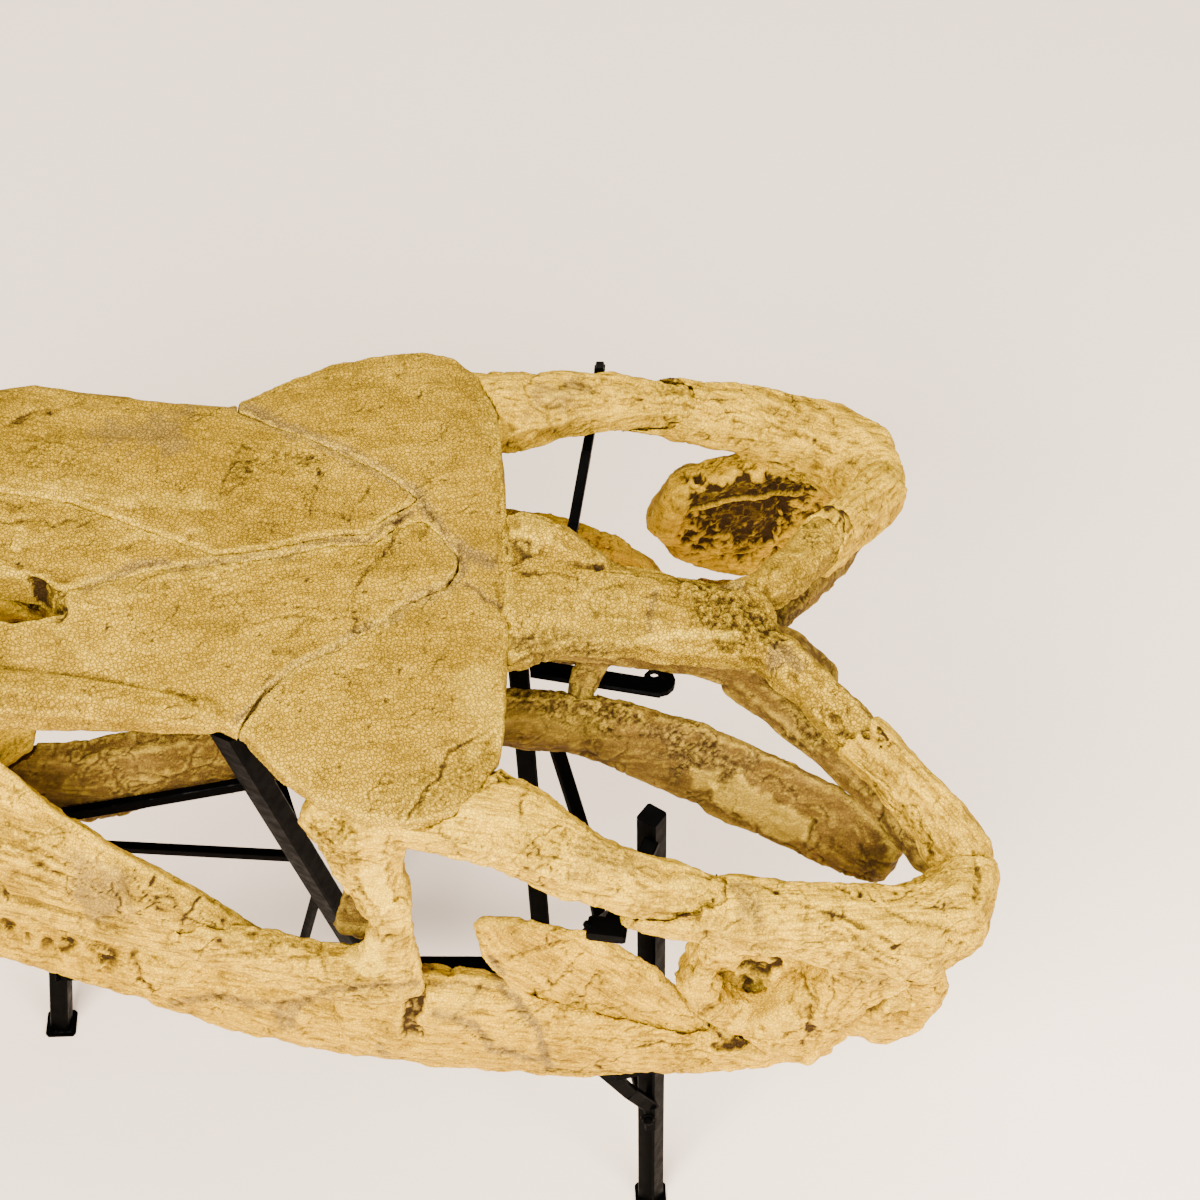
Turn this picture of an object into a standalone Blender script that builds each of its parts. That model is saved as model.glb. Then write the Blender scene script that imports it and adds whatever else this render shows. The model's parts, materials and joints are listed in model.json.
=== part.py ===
"""Fossil mosasaur skull, life size, on its welded steel museum stand.

The skull is laid out in its own frame, in millimetres: x runs from the snout (negative) to the
back of the head, y to the animal's right, z up, with zero on the skull roof at the seam between
frontal and parietal. skull_to_world() tips that frame nose up and lifts it onto the stand.
"""

import math
from collections import namedtuple

import bmesh
import bpy
from mathutils import Matrix, Vector

MM = 0.001
ROOF_HEIGHT = 750.0
NOSE_UP = math.radians(10.0)
MID_LENGTH_SHIFT = 273.4
MID_WIDTH_SHIFT = -10.5
RIGHT_SPREAD = 1.08
RIGHT_REAR_SHRINK = 0.2
RIGHT_BAR_LIFT = 20.0
RIGHT_JAW_DROP = 20.0
CONTACT_GAP = 0.6
FLAT_ENOUGH = math.radians(3.0)
SEAM_GAP = 0.35
LEFT, RIGHT = -1, 1
SIDE_NAMES = {LEFT: "left", RIGHT: "right"}

Station = namedtuple("Station", "x y z wide high tilt bow", defaults=(0.0, 0.0))

BONE_LOOK = ((0.62, 0.45, 0.20, 1.0), 0.6, 0.0)
STEEL_LOOK = ((0.012, 0.012, 0.012, 1.0), 0.45, 0.6)


def clear_scene():
    for obj in list(bpy.data.objects):
        bpy.data.objects.remove(obj, do_unlink=True)


def make_material(name, colour, roughness, metallic):
    material = bpy.data.materials.new(name)
    material.use_nodes = True
    shader = material.node_tree.nodes["Principled BSDF"]
    shader.inputs["Base Color"].default_value = colour
    shader.inputs["Roughness"].default_value = roughness
    shader.inputs["Metallic"].default_value = metallic
    return material


def skull_to_world(x, y, z):
    """Skull frame in millimetres to the world frame in metres."""
    c, s = math.cos(NOSE_UP), math.sin(NOSE_UP)
    return Vector((x * c + z * s + MID_LENGTH_SHIFT, y + MID_WIDTH_SHIFT, -x * s + z * c + ROOF_HEIGHT)) * MM


def stand_to_world(x, y, z):
    """Stand frame (upright, same x origin as the skull) in millimetres to the world in metres."""
    return Vector((x + MID_LENGTH_SHIFT, y + MID_WIDTH_SHIFT, z)) * MM


def on_side(stations, side):
    """Stations given for |y|, put on the left or right of the skull.

    This fossil is skewed: its right side is a little wider, and ends a little further forward.
    """
    if side == LEFT:
        return [s._replace(y=-s.y) for s in stations]
    return [s._replace(x=right_x(s.x), y=RIGHT_SPREAD * s.y, tilt=-s.tilt) for s in stations]


def right_x(x):
    return x - RIGHT_REAR_SHRINK * max(0.0, x - 240.0)


def jaw_drop(x):
    """How far the right half of the lower jaw hangs below the left one."""
    return RIGHT_JAW_DROP * min(1.0, max(0.0, (x + 700) / 700))


def on_jaw_side(stations, side):
    """Stations of the lower jaw: its right half keeps the left one's width, and hangs a little lower."""
    if side == LEFT:
        return on_side(stations, side)
    return [s._replace(x=right_x(s.x), z=s.z - jaw_drop(s.x), tilt=-s.tilt) for s in stations]


def lifted(stations, side):
    """The right upper bar arches a little higher than the left in the middle of its length."""
    if side == LEFT:
        return stations
    return [s._replace(z=s.z + RIGHT_BAR_LIFT * max(0.0, 1 - abs(s.x - 200) / 150)) for s in stations]


def between(a, b, c, d, t):
    """Catmull-Rom interpolation of one value."""
    return 0.5 * (
        2 * b + (c - a) * t + (2 * a - 5 * b + 4 * c - d) * t * t + (3 * b - a - 3 * c + d) * t**3
    )


def smooth_stations(stations, steps):
    """The stations with steps spans between each pair, on a smooth curve through them."""
    found = []
    last = len(stations) - 1
    for i in range(last):
        a = stations[max(i - 1, 0)]
        b, c = stations[i], stations[i + 1]
        d = stations[min(i + 2, last)]
        for k in range(steps):
            found.append(Station(*(between(*v, k / steps) for v in zip(a, b, c, d))))
    return found + [stations[last]]


def section(station, side_dir, up_dir, sides, power, scale=1.0):
    """A ring of points: a superellipse, tilted about the path and bowed down at its edges."""
    tilt = math.radians(station.tilt)
    across = side_dir * math.cos(tilt) + up_dir * math.sin(tilt)
    rise = up_dir * math.cos(tilt) - side_dir * math.sin(tilt)
    ring = []
    for k in range(sides):
        angle = 2 * math.pi * (k + 0.5) / sides
        c, s = math.cos(angle), math.sin(angle)
        u = math.copysign(abs(c) ** (2 / power), c)
        v = math.copysign(abs(s) ** (2 / power), s)
        sag = station.bow * u * u * scale
        ring.append(across * (u * station.wide * scale) + rise * (v * station.high * scale - sag))
    return ring


def loft(stations, up=(0, 0, 1), sides=8, power=2.3, cap=0.8, facing=None):
    """A closed mesh object swept through the stations, with rounded ends.

    Its rings stand square to the path, or all in planes square to facing.
    """
    stations = smooth_stations(stations, 2 if cap and len(stations) < 5 else 1)
    centres = [Vector((s.x, s.y, s.z)) for s in stations]
    rings, last = [], len(stations) - 1
    for i, station in enumerate(stations):
        along = (centres[min(i + 1, last)] - centres[max(i - 1, 0)]).normalized()
        along = Vector(facing) if facing else along
        side_dir = Vector(up).cross(along).normalized()
        up_dir = along.cross(side_dir)
        ends = []
        if cap and i in (0, last):
            reach = cap * min(station.wide, station.high) * (-1 if i == 0 else 1)
            ends = [(math.cos(a), along * reach * math.sin(a)) for a in (0.85,)]
        body = [[centres[i] + p for p in section(station, side_dir, up_dir, sides, power)]]
        for scale, shift in ends:
            ring = section(station, side_dir, up_dir, sides, power, scale)
            body.append([centres[i] + p + shift for p in ring])
        rings += reversed(body) if i == 0 else body
    mesh = bmesh.new()
    rows = [[mesh.verts.new(skull_to_world(*p)) for p in ring] for ring in rings]
    for a, b in zip(rows, rows[1:]):
        for k in range(sides):
            mesh.faces.new((a[k - 1], a[k], b[k], b[k - 1]))
    mesh.faces.new(list(reversed(rows[0])))
    mesh.faces.new(rows[-1])
    bmesh.ops.triangulate(mesh, faces=[f for f in mesh.faces if len(f.verts) > 4])
    bmesh.ops.recalc_face_normals(mesh, faces=mesh.faces)
    return as_object("loft", mesh)


def as_object(name, mesh):
    data = bpy.data.meshes.new(name)
    mesh.to_mesh(data)
    mesh.free()
    obj = bpy.data.objects.new(name, data)
    bpy.context.scene.collection.objects.link(obj)
    return obj


def tooth(x, y, z, tall, radius, lean=(-0.25, 0.0), down=True):
    """A curved cone with a swollen base; its root reaches back into the jaw."""
    way = -1 if down else 1
    back, out = lean
    points = [(-0.5, 0.9), (0.15, 1.0), (1.0, 0.2)]
    stations = [
        Station(x - back * tall * t * abs(t), y + out * tall * t, z + way * tall * t, radius * r, radius * r)
        for t, r in points
    ]
    return loft(stations, up=(1, 0, 0), sides=5, power=2.0, cap=None)


def apply_boolean(obj, operation, operand=None, collection=None):
    modifier = obj.modifiers.new("join", "BOOLEAN")
    modifier.operation = operation
    modifier.solver = "MANIFOLD"
    if collection is None:
        modifier.object = operand
    else:
        modifier.operand_type = "COLLECTION"
        modifier.collection = collection
    graph = bpy.context.evaluated_depsgraph_get()
    data = bpy.data.meshes.new_from_object(obj.evaluated_get(graph))
    obj.modifiers.remove(modifier)
    obj.data = data


def remove(obj):
    bpy.data.objects.remove(obj, do_unlink=True)


def fuse(name, pieces):
    """One closed body from overlapping closed pieces."""
    body, *others = pieces
    body.name = name
    if others:
        tools = bpy.data.collections.new(name + "_tools")
        bpy.context.scene.collection.children.link(tools)
        for piece in others:
            bpy.context.scene.collection.objects.unlink(piece)
            tools.objects.link(piece)
        apply_boolean(body, "UNION", collection=tools)
        for piece in others:
            remove(piece)
        bpy.data.collections.remove(tools)
    keep_largest(body)
    return body


def keep_largest(obj):
    """Leaves only the connected surface that has the largest box."""
    mesh = bmesh.new()
    mesh.from_mesh(obj.data)
    unseen, shells = set(mesh.verts), []
    while unseen:
        stack, shell = [unseen.pop()], []
        while stack:
            vert = stack.pop()
            shell.append(vert)
            for edge in vert.link_edges:
                other = edge.other_vert(vert)
                if other in unseen:
                    unseen.discard(other)
                    stack.append(other)
        shells.append(shell)
    shells.sort(key=shell_size)
    bmesh.ops.delete(mesh, geom=[v for shell in shells[:-1] for v in shell], context="VERTS")
    mesh.to_mesh(obj.data)
    for angle in (FLAT_ENOUGH, FLAT_ENOUGH / 3, FLAT_ENOUGH / 9):
        lighter = mesh.copy()
        bmesh.ops.dissolve_limit(lighter, angle_limit=angle, verts=lighter.verts, edges=lighter.edges)
        bmesh.ops.triangulate(lighter, faces=lighter.faces)
        sound = all(edge.is_manifold for edge in lighter.edges)
        if sound:
            lighter.to_mesh(obj.data)
        lighter.free()
        if sound:
            break
    mesh.free()


def shell_size(shell):
    spans = [max(v.co[i] for v in shell) - min(v.co[i] for v in shell) for i in range(3)]
    return spans[0] * spans[1] * spans[2]


def swollen(obj, by):
    """A copy of the object grown by a distance along its vertex normals, used as a cutter."""
    copy = bpy.data.objects.new(obj.name + "_swollen", obj.data.copy())
    bpy.context.scene.collection.objects.link(copy)
    mesh = bmesh.new()
    mesh.from_mesh(copy.data)
    mesh.normal_update()
    moves = [(v, v.normal * by * MM) for v in mesh.verts]
    for vert, move in moves:
        vert.co += move
    mesh.to_mesh(copy.data)
    mesh.free()
    return copy


def cut_clear(obj, *others):
    """Cuts obj back from each of the others, leaving the contact gap."""
    for other in others:
        cutter = swollen(other, CONTACT_GAP)
        apply_boolean(obj, "DIFFERENCE", operand=cutter)
        remove(cutter)
    keep_largest(obj)


def prism(outline, grow, low=-400, high=200):
    """An upright prism over an outline in the skull's x-y plane, its sides moved out by grow."""
    count = len(outline)
    centre = sum((Vector(p) for p in outline), Vector((0, 0))) / count
    points = []
    for i in range(count):
        here, before, after = (Vector(outline[j % count]) for j in (i, i - 1, i + 1))
        normals = []
        for a, b in ((before, here), (here, after)):
            edge = (b - a).normalized()
            normals.append(Vector((edge.y, -edge.x)))
        miter = (normals[0] + normals[1]).normalized()
        points.append(here + miter * grow / max(miter.dot(normals[0]), 0.3))
    area = sum(a[0] * b[1] - b[0] * a[1] for a, b in zip(outline, outline[1:] + outline[:1]))
    if area < 0:
        points = [2 * Vector(outline[i]) - p for i, p in enumerate(points)][::-1]
    mesh = bmesh.new()
    base = mesh.faces.new([mesh.verts.new(skull_to_world(p[0], p[1], low)) for p in points])
    made = bmesh.ops.extrude_face_region(mesh, geom=[base])["geom"]
    lift = skull_to_world(centre.x, centre.y, high) - skull_to_world(centre.x, centre.y, low)
    bmesh.ops.translate(mesh, vec=lift, verts=[g for g in made if isinstance(g, bmesh.types.BMVert)])
    bmesh.ops.triangulate(mesh, faces=mesh.faces)
    bmesh.ops.recalc_face_normals(mesh, faces=mesh.faces)
    return as_object("prism", mesh)


# Skull roof

ROOF_EDGES = (
    (-545, -112, 150, 14), (-500, -138, 182, 17), (-430, -154, 206, 20), (-370, -150, 202, 19), (-310, -152, 200, 18),
    (-252, -162, 202, 16), (-222, -176, 224, 15),
    (-190, -214, 248, 14), (-160, -240, 268, 13), (-120, -254, 284, 13), (-75, -256, 298, 13),
    (-45, -244, 292, 14), (-22, -216, 272, 15), (-5, -180, 222, 15),
)
ROOF_BOW = 14


def roof_plate():
    """Frontal and prefrontals in one thin arched plate, before the seams part it."""
    stations = [
        Station(x, (left + right) / 2, -thick, (right - left) / 2, thick, 0, ROOF_BOW)
        for x, left, right, thick in ROOF_EDGES
    ]
    return loft(stations, sides=16, power=5.0, cap=0.5, facing=(1, 0, 0))


PREFRONTAL_SEAMS = {
    LEFT: (
        (-560, -60), (-385, -52), (-303, -17), (-258, -8), (-212, 5), (-175, 20), (-146, 29),
        (-120, 33), (-100, 52), (-76, 66), (-60, 50), (-43, 26), (-44, 10), (-54, -9), (-90, -34),
        (-112, -60), (-150, -91), (-182, -112), (-209, -141), (-230, -178), (-240, -330), (-560, -330),
    ),
    RIGHT: (
        (-560, 60), (-385, 50), (-258, 4), (-212, 16), (-175, 32), (-146, 41), (-124, 44),
        (-108, 66), (-88, 81), (-80, 92), (-97, 107), (-120, 124),
        (-211, 168), (-244, 187), (-250, 330), (-560, 330),
    ),
}


def prefrontal_outline(side):
    """The wedge of roof that each prefrontal holds, skewed as the fossil's seams are."""
    return [tuple(point) for point in PREFRONTAL_SEAMS[side]]


def prefrontal(side):
    plate = roof_plate()
    body = on_side(
        [
            Station(-500, 140, -45, 26, 34),
            Station(-420, 146, -38, 24, 30),
            Station(-330, 150, -32, 20, 24),
            Station(-250, 158, -26, 14, 15),
        ],
        side,
    )
    whole = fuse("prefrontal_" + SIDE_NAMES[side], [plate, loft(body)])
    cut(whole, nostril_cutter(side))
    wedge = prism(prefrontal_outline(side), -SEAM_GAP)
    apply_boolean(whole, "INTERSECT", operand=wedge)
    remove(wedge)
    keep_largest(whole)
    return whole


def frontal():
    plate = roof_plate()
    keel = loft([Station(-420, 0, -30, 26, 18), Station(-200, 0, -32, 34, 20), Station(-30, 0, -32, 60, 18)])
    whole = fuse("frontal", [plate, keel])
    for side in (LEFT, RIGHT):
        cut(whole, prism(prefrontal_outline(side), 0.0), nostril_cutter(side))
    keep_largest(whole)
    return whole


def parietal():
    table = loft(
        [
            Station(-6, 4, -22, 92, 20), Station(22, 3, -22, 82, 22), Station(60, -2, -22, 58, 22),
            Station(120, -8, -22, 47, 22), Station(180, -12, -24, 45, 22), Station(235, -8, -26, 44, 20),
        ],
        power=2.8,
    )
    knob = loft([Station(10, 62, -14, 24, 20), Station(48, 52, -12, 26, 20), Station(80, 32, -16, 20, 16)])
    pieces = [table, knob]
    for side in (LEFT, RIGHT):
        pieces.append(
            loft(
                on_side(
                    [
                        Station(190, 6, -26, 20, 18), Station(246, 38, -28, 22, 24, 10),
                        Station(308, 98, -42, 21, 27, 15), Station(338, 126, -50, 20, 27, 15),
                    ],
                    side,
                )
            )
        )
    return fuse("parietal", pieces)


def supratemporal(side):
    stations = [
        Station(318, 108, -46, 25, 31, 15), Station(356, 142, -58, 24, 34, 12),
        Station(390, 174, -70, 25, 36, 8), Station(414, 204, -82, 27, 36),
    ]
    return fuse("supratemporal_" + SIDE_NAMES[side], [loft(on_side(stations, side))])


def postorbitofrontal(side):
    """The corner of the skull roof, its strut down to the jugal and the front of the upper bar."""
    bar = [
        Station(-95, 215, -48, 40, 24), Station(-40, 215, -44, 52, 28), Station(10, 232, -48, 42, 32),
        Station(60, 256, -58, 34, 31), Station(120, 268, -68, 29, 27), Station(185, 272, -76, 22, 20),
    ]
    strut = [
        Station(-118, 232, -52, 42, 30), Station(-108, 244, -95, 34, 24), Station(-88, 256, -140, 22, 16),
        Station(-80, 262, -178, 15, 12),
    ]
    knob = [Station(-150, 226, -52, 26, 26), Station(-120, 232, -62, 26, 30)]
    return fuse(
        "postorbitofrontal_" + SIDE_NAMES[side],
        [loft(on_side(lifted(bar, side), side)), loft(on_side(strut, side), up=(0, 1, 0)), loft(on_side(knob, side))],
    )


def squamosal(side):
    """The back of the upper bar, and the heavy corner that the quadrate hangs from."""
    bar = [
        Station(118, 276, -88, 22, 18), Station(170, 276, -84, 30, 29), Station(240, 276, -88, 33, 33),
        Station(310, 278, -94, 38, 38), Station(362, 276, -98, 43, 40), Station(400, 252, -94, 40, 42),
        Station(420, 216, -86, 26, 36),
    ]
    return fuse("squamosal_" + SIDE_NAMES[side], [loft(on_side(lifted(bar, side), side), sides=10)])


def jugal(side):
    lower = [
        Station(-262, 238, -236, 12, 22), Station(-200, 246, -240, 17, 32), Station(-140, 256, -246, 20, 36),
        Station(-85, 266, -238, 20, 38), Station(-62, 270, -232, 16, 30),
    ]
    upright = [
        Station(-80, 268, -246, 42, 18), Station(-78, 268, -205, 30, 16), Station(-82, 266, -165, 20, 13),
        Station(-88, 262, -120, 17, 12),
    ]
    return fuse(
        "jugal_" + SIDE_NAMES[side],
        [loft(on_side(lower, side)), loft(on_side(upright, side), up=(0, 1, 0))],
    )


def quadrate(side):
    """A stout shaft with a broad curled flange in front and a hooked process behind."""
    shaft = [
        Station(352, 276, -118, 46, 34), Station(330, 278, -165, 38, 30), Station(305, 278, -215, 36, 30),
        Station(290, 276, -262, 48, 34),
    ]
    flange = [
        Station(330, 262, -128, 20, 24), Station(255, 256, -134, 20, 24), Station(202, 256, -160, 18, 26),
        Station(194, 258, -205, 18, 26), Station(224, 264, -246, 20, 22), Station(272, 270, -266, 22, 20),
    ]
    hollow_wall = [Station(215, 244, -190, 10, 42), Station(270, 248, -195, 12, 50), Station(320, 254, -190, 14, 44)]
    hook = [
        Station(368, 276, -132, 30, 26), Station(392, 276, -172, 24, 24), Station(394, 274, -222, 24, 22),
        Station(372, 272, -256, 20, 20),
    ]
    lump = [Station(350, 272, -220, 24, 40), Station(390, 274, -236, 22, 28)]
    return fuse(
        "quadrate_" + SIDE_NAMES[side],
        [
            loft(on_side(shaft, side), up=(0, 1, 0)),
            loft(on_side(flange, side), up=(0, 1, 0)),
            loft(on_side(hollow_wall, side)),
            loft(on_side(hook, side), up=(0, 1, 0)),
            loft(on_side(lump, side)),
        ],
    )


def braincase():
    core = [
        Station(20, 0, -58, 28, 26), Station(90, -2, -58, 28, 26), Station(170, -4, -60, 30, 26),
        Station(240, -3, -68, 38, 32), Station(275, 0, -82, 30, 28),
    ]
    condyle = [Station(250, 0, -92, 24, 22), Station(292, 0, -96, 27, 25), Station(306, 0, -98, 22, 20)]
    base = [Station(5, 4, -84, 16, 14), Station(60, 4, -86, 16, 14), Station(130, 2, -86, 17, 14), Station(200, 0, -84, 20, 16)]
    pieces = [loft(core), loft(condyle), loft(base)]
    for side in (LEFT, RIGHT):
        wing = [
            Station(225, 20, -78, 22, 22), Station(300, 84, -92, 16, 20), Station(360, 140, -104, 15, 20),
            Station(392, 186, -112, 15, 18),
        ]
        foot = [Station(96, 4, -86, 14, 12), Station(86, 22, -98, 14, 12), Station(80, 38, -108, 13, 12)]
        pieces += [loft(on_side(wing, side)), loft(on_side(foot, side))]
    return fuse("braincase", pieces)


def pterygoid(side):
    """The palate bar under the eye with its own tooth row, and the long blade back to the quadrate."""
    bar = [
        Station(-478, 82, -222, 24, 30), Station(-430, 84, -226, 24, 36), Station(-360, 92, -222, 28, 48),
        Station(-285, 90, -190, 27, 46), Station(-200, 82, -162, 24, 40), Station(-110, 66, -146, 22, 36),
        Station(-30, 48, -144, 19, 36), Station(30, 42, -140, 16, 38),
    ]
    blade = [
        Station(0, 43, -142, 15, 40), Station(92, 48, -134, 14, 38, -8), Station(180, 74, -138, 13, 42, -18),
        Station(270, 106, -150, 13, 44, -20), Station(335, 140, -150, 13, 42, -16), Station(366, 166, -150, 11, 30, -8),
    ]
    process = [Station(-60, 66, -156, 26, 14), Station(-86, 146, -196, 22, 12), Station(-104, 220, -236, 22, 12)]
    pieces = [loft(on_side(bar, side)), loft(on_side(blade, side)), loft(on_side(process, side))]
    for k in range(PTERYGOID_TEETH):
        share = k / (PTERYGOID_TEETH - 1)
        x = -400 + 210 * share
        z = -262 + 66 * share
        pieces.append(tooth(x, side * (90 - 6 * share), z, 30 - 8 * share, 9 - 2 * share))
    return fuse("pterygoid_" + SIDE_NAMES[side], pieces)


# Snout and upper jaw

PTERYGOID_TEETH = 7
UPPER_EDGE = -268
TOOTH_PATH = (
    (-905, 34), (-880, 54), (-840, 76), (-760, 106), (-660, 134), (-560, 160), (-460, 186),
    (-380, 205), (-300, 219), (-230, 229),
)


def along(path, x):
    """The value of a path of (x, value) pairs at x."""
    for (xa, a), (xb, b) in zip(path, path[1:]):
        if x <= xb:
            return a + (b - a) * max(0.0, (x - xa) / (xb - xa))
    return path[-1][1]


def tooth_row(side, path, height, inset, first, last, pitch, tall, radius, down):
    """Teeth at an even pitch along a jaw, a little larger in the middle of the row."""
    spread = RIGHT_SPREAD if side == RIGHT and down else 1.0
    count = 1 + int((last - first) / pitch)
    row = []
    for k in range(count):
        x = first + pitch * k
        size = 1.0 - 0.35 * abs(2 * k / (count - 1) - 0.7) ** 1.5
        y = side * spread * (along(path, x) - inset)
        z = height(x) - (jaw_drop(x) if side == RIGHT and not down else 0.0)
        row.append(tooth(x, y, z, tall * size, radius * size, down=down))
    return row


# x, half-width, underside and top of the whole snout in front of the eyes
SNOUT = (
    (-930, 24, -240, -200), (-912, 42, -252, -184), (-880, 58, -260, -168), (-835, 76, -263, -148),
    (-755, 100, -264, -116), (-660, 126, -264, -80), (-560, 150, -264, -46), (-500, 160, -262, -28),
    (-468, 160, -250, -22),
)
NOSTRIL = ((-705, 34), (-640, 32), (-480, 34), (-400, 38), (-378, 74), (-420, 88), (-520, 80), (-620, 62))
PALATE_VAULT = (
    (-845, 16), (-700, 60), (-560, 98), (-400, 130), (-400, -130), (-560, -98), (-700, -60), (-845, -16),
)
PREMAXILLA_PLAN = (
    (-960, 90), (-858, 90), (-846, 34), (-780, 28), (-400, 26),
    (-400, -26), (-780, -28), (-846, -34), (-858, -90), (-960, -90),
)


def nostril_cutter(side):
    ends = 85.0 if side == RIGHT else 0.0
    spread = RIGHT_SPREAD if side == RIGHT else 1.0
    outline = [(x - ends * (x > -450), side * spread * y) for x, y in NOSTRIL]
    return prism(outline, 0.0, low=-165)


def cut(obj, *cutters):
    for cutter in cutters:
        apply_boolean(obj, "DIFFERENCE", operand=cutter)
        remove(cutter)


def snout_block():
    """The snout in one piece: an arched body on two tooth-bearing rims, before the seams part it."""
    body = [Station(x, 0, (low + top) / 2, wide, (top - low) / 2) for x, wide, low, top in SNOUT]
    pieces = [loft(body, sides=14, power=2.5, facing=(1, 0, 0))]
    ridge = [Station(-860, 0, -168, 26, 24), Station(-760, 0, -130, 25, 24), Station(-600, 0, -72, 24, 22)]
    pieces.append(loft(ridge + [Station(-500, 0, -34, 26, 16), Station(-420, 0, -16, 24, 12)]))
    for side in (LEFT, RIGHT):
        rim = [Station(x, along(TOOTH_PATH, x), -250, 20, 23) for x in (-850, -770, -680, -580, -480, -430)]
        pieces.append(loft(on_side(rim, side)))
    whole = fuse("snout", pieces)
    cut(whole, nostril_cutter(LEFT), nostril_cutter(RIGHT), prism(PALATE_VAULT, 0.0, high=-228))
    return whole


def premaxilla():
    """The tip of the snout with four teeth, and the long bar between the nostrils."""
    body = snout_block()
    plan = prism(PREMAXILLA_PLAN, 0.0)
    apply_boolean(body, "INTERSECT", operand=plan)
    remove(plan)
    keep_largest(body)
    pieces = [body]
    for side in (LEFT, RIGHT):
        for x, y, tall, radius in ((-908, 18, 38, 11), (-876, 42, 44, 13)):
            pieces.append(tooth(x, side * y, -252, tall, radius))
    return fuse("premaxilla", pieces)


def maxilla(side):
    body = snout_block()
    plan = prism([(-960, side * 5), (-300, side * 5), (-300, side * 320), (-960, side * 320)], 0.0)
    apply_boolean(body, "INTERSECT", operand=plan)
    remove(plan)
    cut(body, prism(PREMAXILLA_PLAN, SEAM_GAP))
    keep_largest(body)
    wall = [
        Station(-520, 152, -152, 22, 108, -14), Station(-450, 174, -174, 22, 84, -8),
        Station(-390, 194, -194, 22, 70, -4), Station(-330, 210, -210, 21, 58), Station(-260, 224, -230, 20, 44),
        Station(-190, 236, -250, 14, 22),
    ]
    rim = [Station(x, along(TOOTH_PATH, x), -251, 21, 22) for x in (-470, -400, -320, -240)]
    pieces = [body, loft(on_side(wall, side), sides=10), loft(on_side(rim, side))]
    pieces += tooth_row(side, TOOTH_PATH, lambda x: UPPER_EDGE + 2, -2, -822, -440, 47.5, 46, 14, True)
    return fuse("maxilla_" + SIDE_NAMES[side], pieces)


# Lower jaw

DENTARY_TOP = ((-905, -352), (-800, -340), (-700, -324), (-600, -311), (-500, -301), (-400, -292), (-300, -298))


def dentary(side):
    bar = [
        Station(-890, 26, -374, 20, 24), Station(-860, 44, -374, 22, 30), Station(-800, 70, -372, 22, 34),
        Station(-700, 98, -360, 22, 37), Station(-600, 125, -350, 22, 39), Station(-500, 151, -341, 22, 41),
        Station(-400, 177, -334, 22, 43), Station(-300, 198, -344, 22, 46), Station(-200, 216, -356, 22, 52),
        Station(-120, 230, -362, 22, 55), Station(-50, 242, -356, 18, 48),
    ]
    pieces = [loft(on_jaw_side(bar, side), power=2.5)]
    pieces += tooth_row(
        side, TOOTH_PATH, lambda x: along(DENTARY_TOP, x) - 3, 24, -868, -452, 46, 38, 13, False
    )
    return fuse("dentary_" + SIDE_NAMES[side], pieces)


def surangular(side):
    """The back of the lower jaw: surangular, angular and articular."""
    bar = [
        Station(-95, 238, -344, 24, 54), Station(-30, 248, -326, 26, 68), Station(50, 255, -320, 27, 66),
        Station(140, 260, -316, 27, 54), Station(210, 262, -312, 28, 42), Station(265, 260, -300, 34, 30),
        Station(310, 256, -288, 30, 22), Station(345, 252, -280, 22, 14),
    ]
    return fuse("surangular_" + SIDE_NAMES[side], [loft(on_jaw_side(bar, side), sides=10, power=2.6)])


def coronoid(side):
    """The leaf-shaped plate that rises from the lower jaw behind the eye."""
    leaf = [
        Station(0, 246, -172, 8, 12, -2), Station(24, 248, -190, 10, 34, -2), Station(66, 251, -216, 12, 54, -2),
        Station(120, 256, -246, 13, 58, -2), Station(172, 262, -280, 14, 44), Station(216, 266, -304, 14, 26),
    ]
    return fuse("coronoid_" + SIDE_NAMES[side], [loft(on_jaw_side(leaf, side))])


# Steel stand, in upright coordinates

TUBE = 20.0
ROD = 8.0
POST_X, POST_Y, POST_TOP = 126.0, -206.0, 669.0
FAR_POST = (-160.0, 178.0)
CROSS_HEIGHT = 118.0
FRONT_FOOT = (-502.0, 24.0, 0.0)
FRONT_TOP = (-452.0, 12.0, 372.0)
DIAGONAL_FOOT = (-155.0, 0.0, 118.0)
DIAGONAL_TOP = (-242.0, -153.0, 748.0)
CENTRE_FOOT = (22.0, 1.0, 118.0)
CENTRE_TOP = (5.0, 0.0, 662.0)
FLOOR_PAD = 3.0


def straight_bar(start, end, wide, high=None):
    """A square bar between two points of the stand, with softened long edges."""
    a, b = stand_to_world(*start), stand_to_world(*end)
    mesh = bmesh.new()
    bmesh.ops.create_cube(mesh, size=1.0)
    sizes = (wide * MM, (high or wide) * MM, (b - a).length)
    bmesh.ops.scale(mesh, vec=sizes, verts=mesh.verts)
    long_edges = [e for e in mesh.edges if abs(e.verts[0].co.z - e.verts[1].co.z) > 0.5 * sizes[2]]
    bmesh.ops.bevel(mesh, geom=long_edges, offset=0.09 * wide * MM, segments=1, affect="EDGES")
    turn = (b - a).to_track_quat("Z", "Y").to_matrix().to_4x4()
    bmesh.ops.transform(mesh, matrix=Matrix.Translation((a + b) / 2) @ turn, verts=mesh.verts)
    return as_object("bar", mesh)


def bent_bar(points, wide, high=None):
    """Straight bars along a bent path, each a hair smaller so that no two faces fall together."""
    pairs = zip(points, points[1:])
    return [straight_bar(a, b, wide - 0.4 * k, (high or wide) - 0.4 * k) for k, (a, b) in enumerate(pairs)]


def foot_pad(x, y):
    return straight_bar((x, y, 0.0), (x, y, FLOOR_PAD), TUBE + 12)


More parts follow.
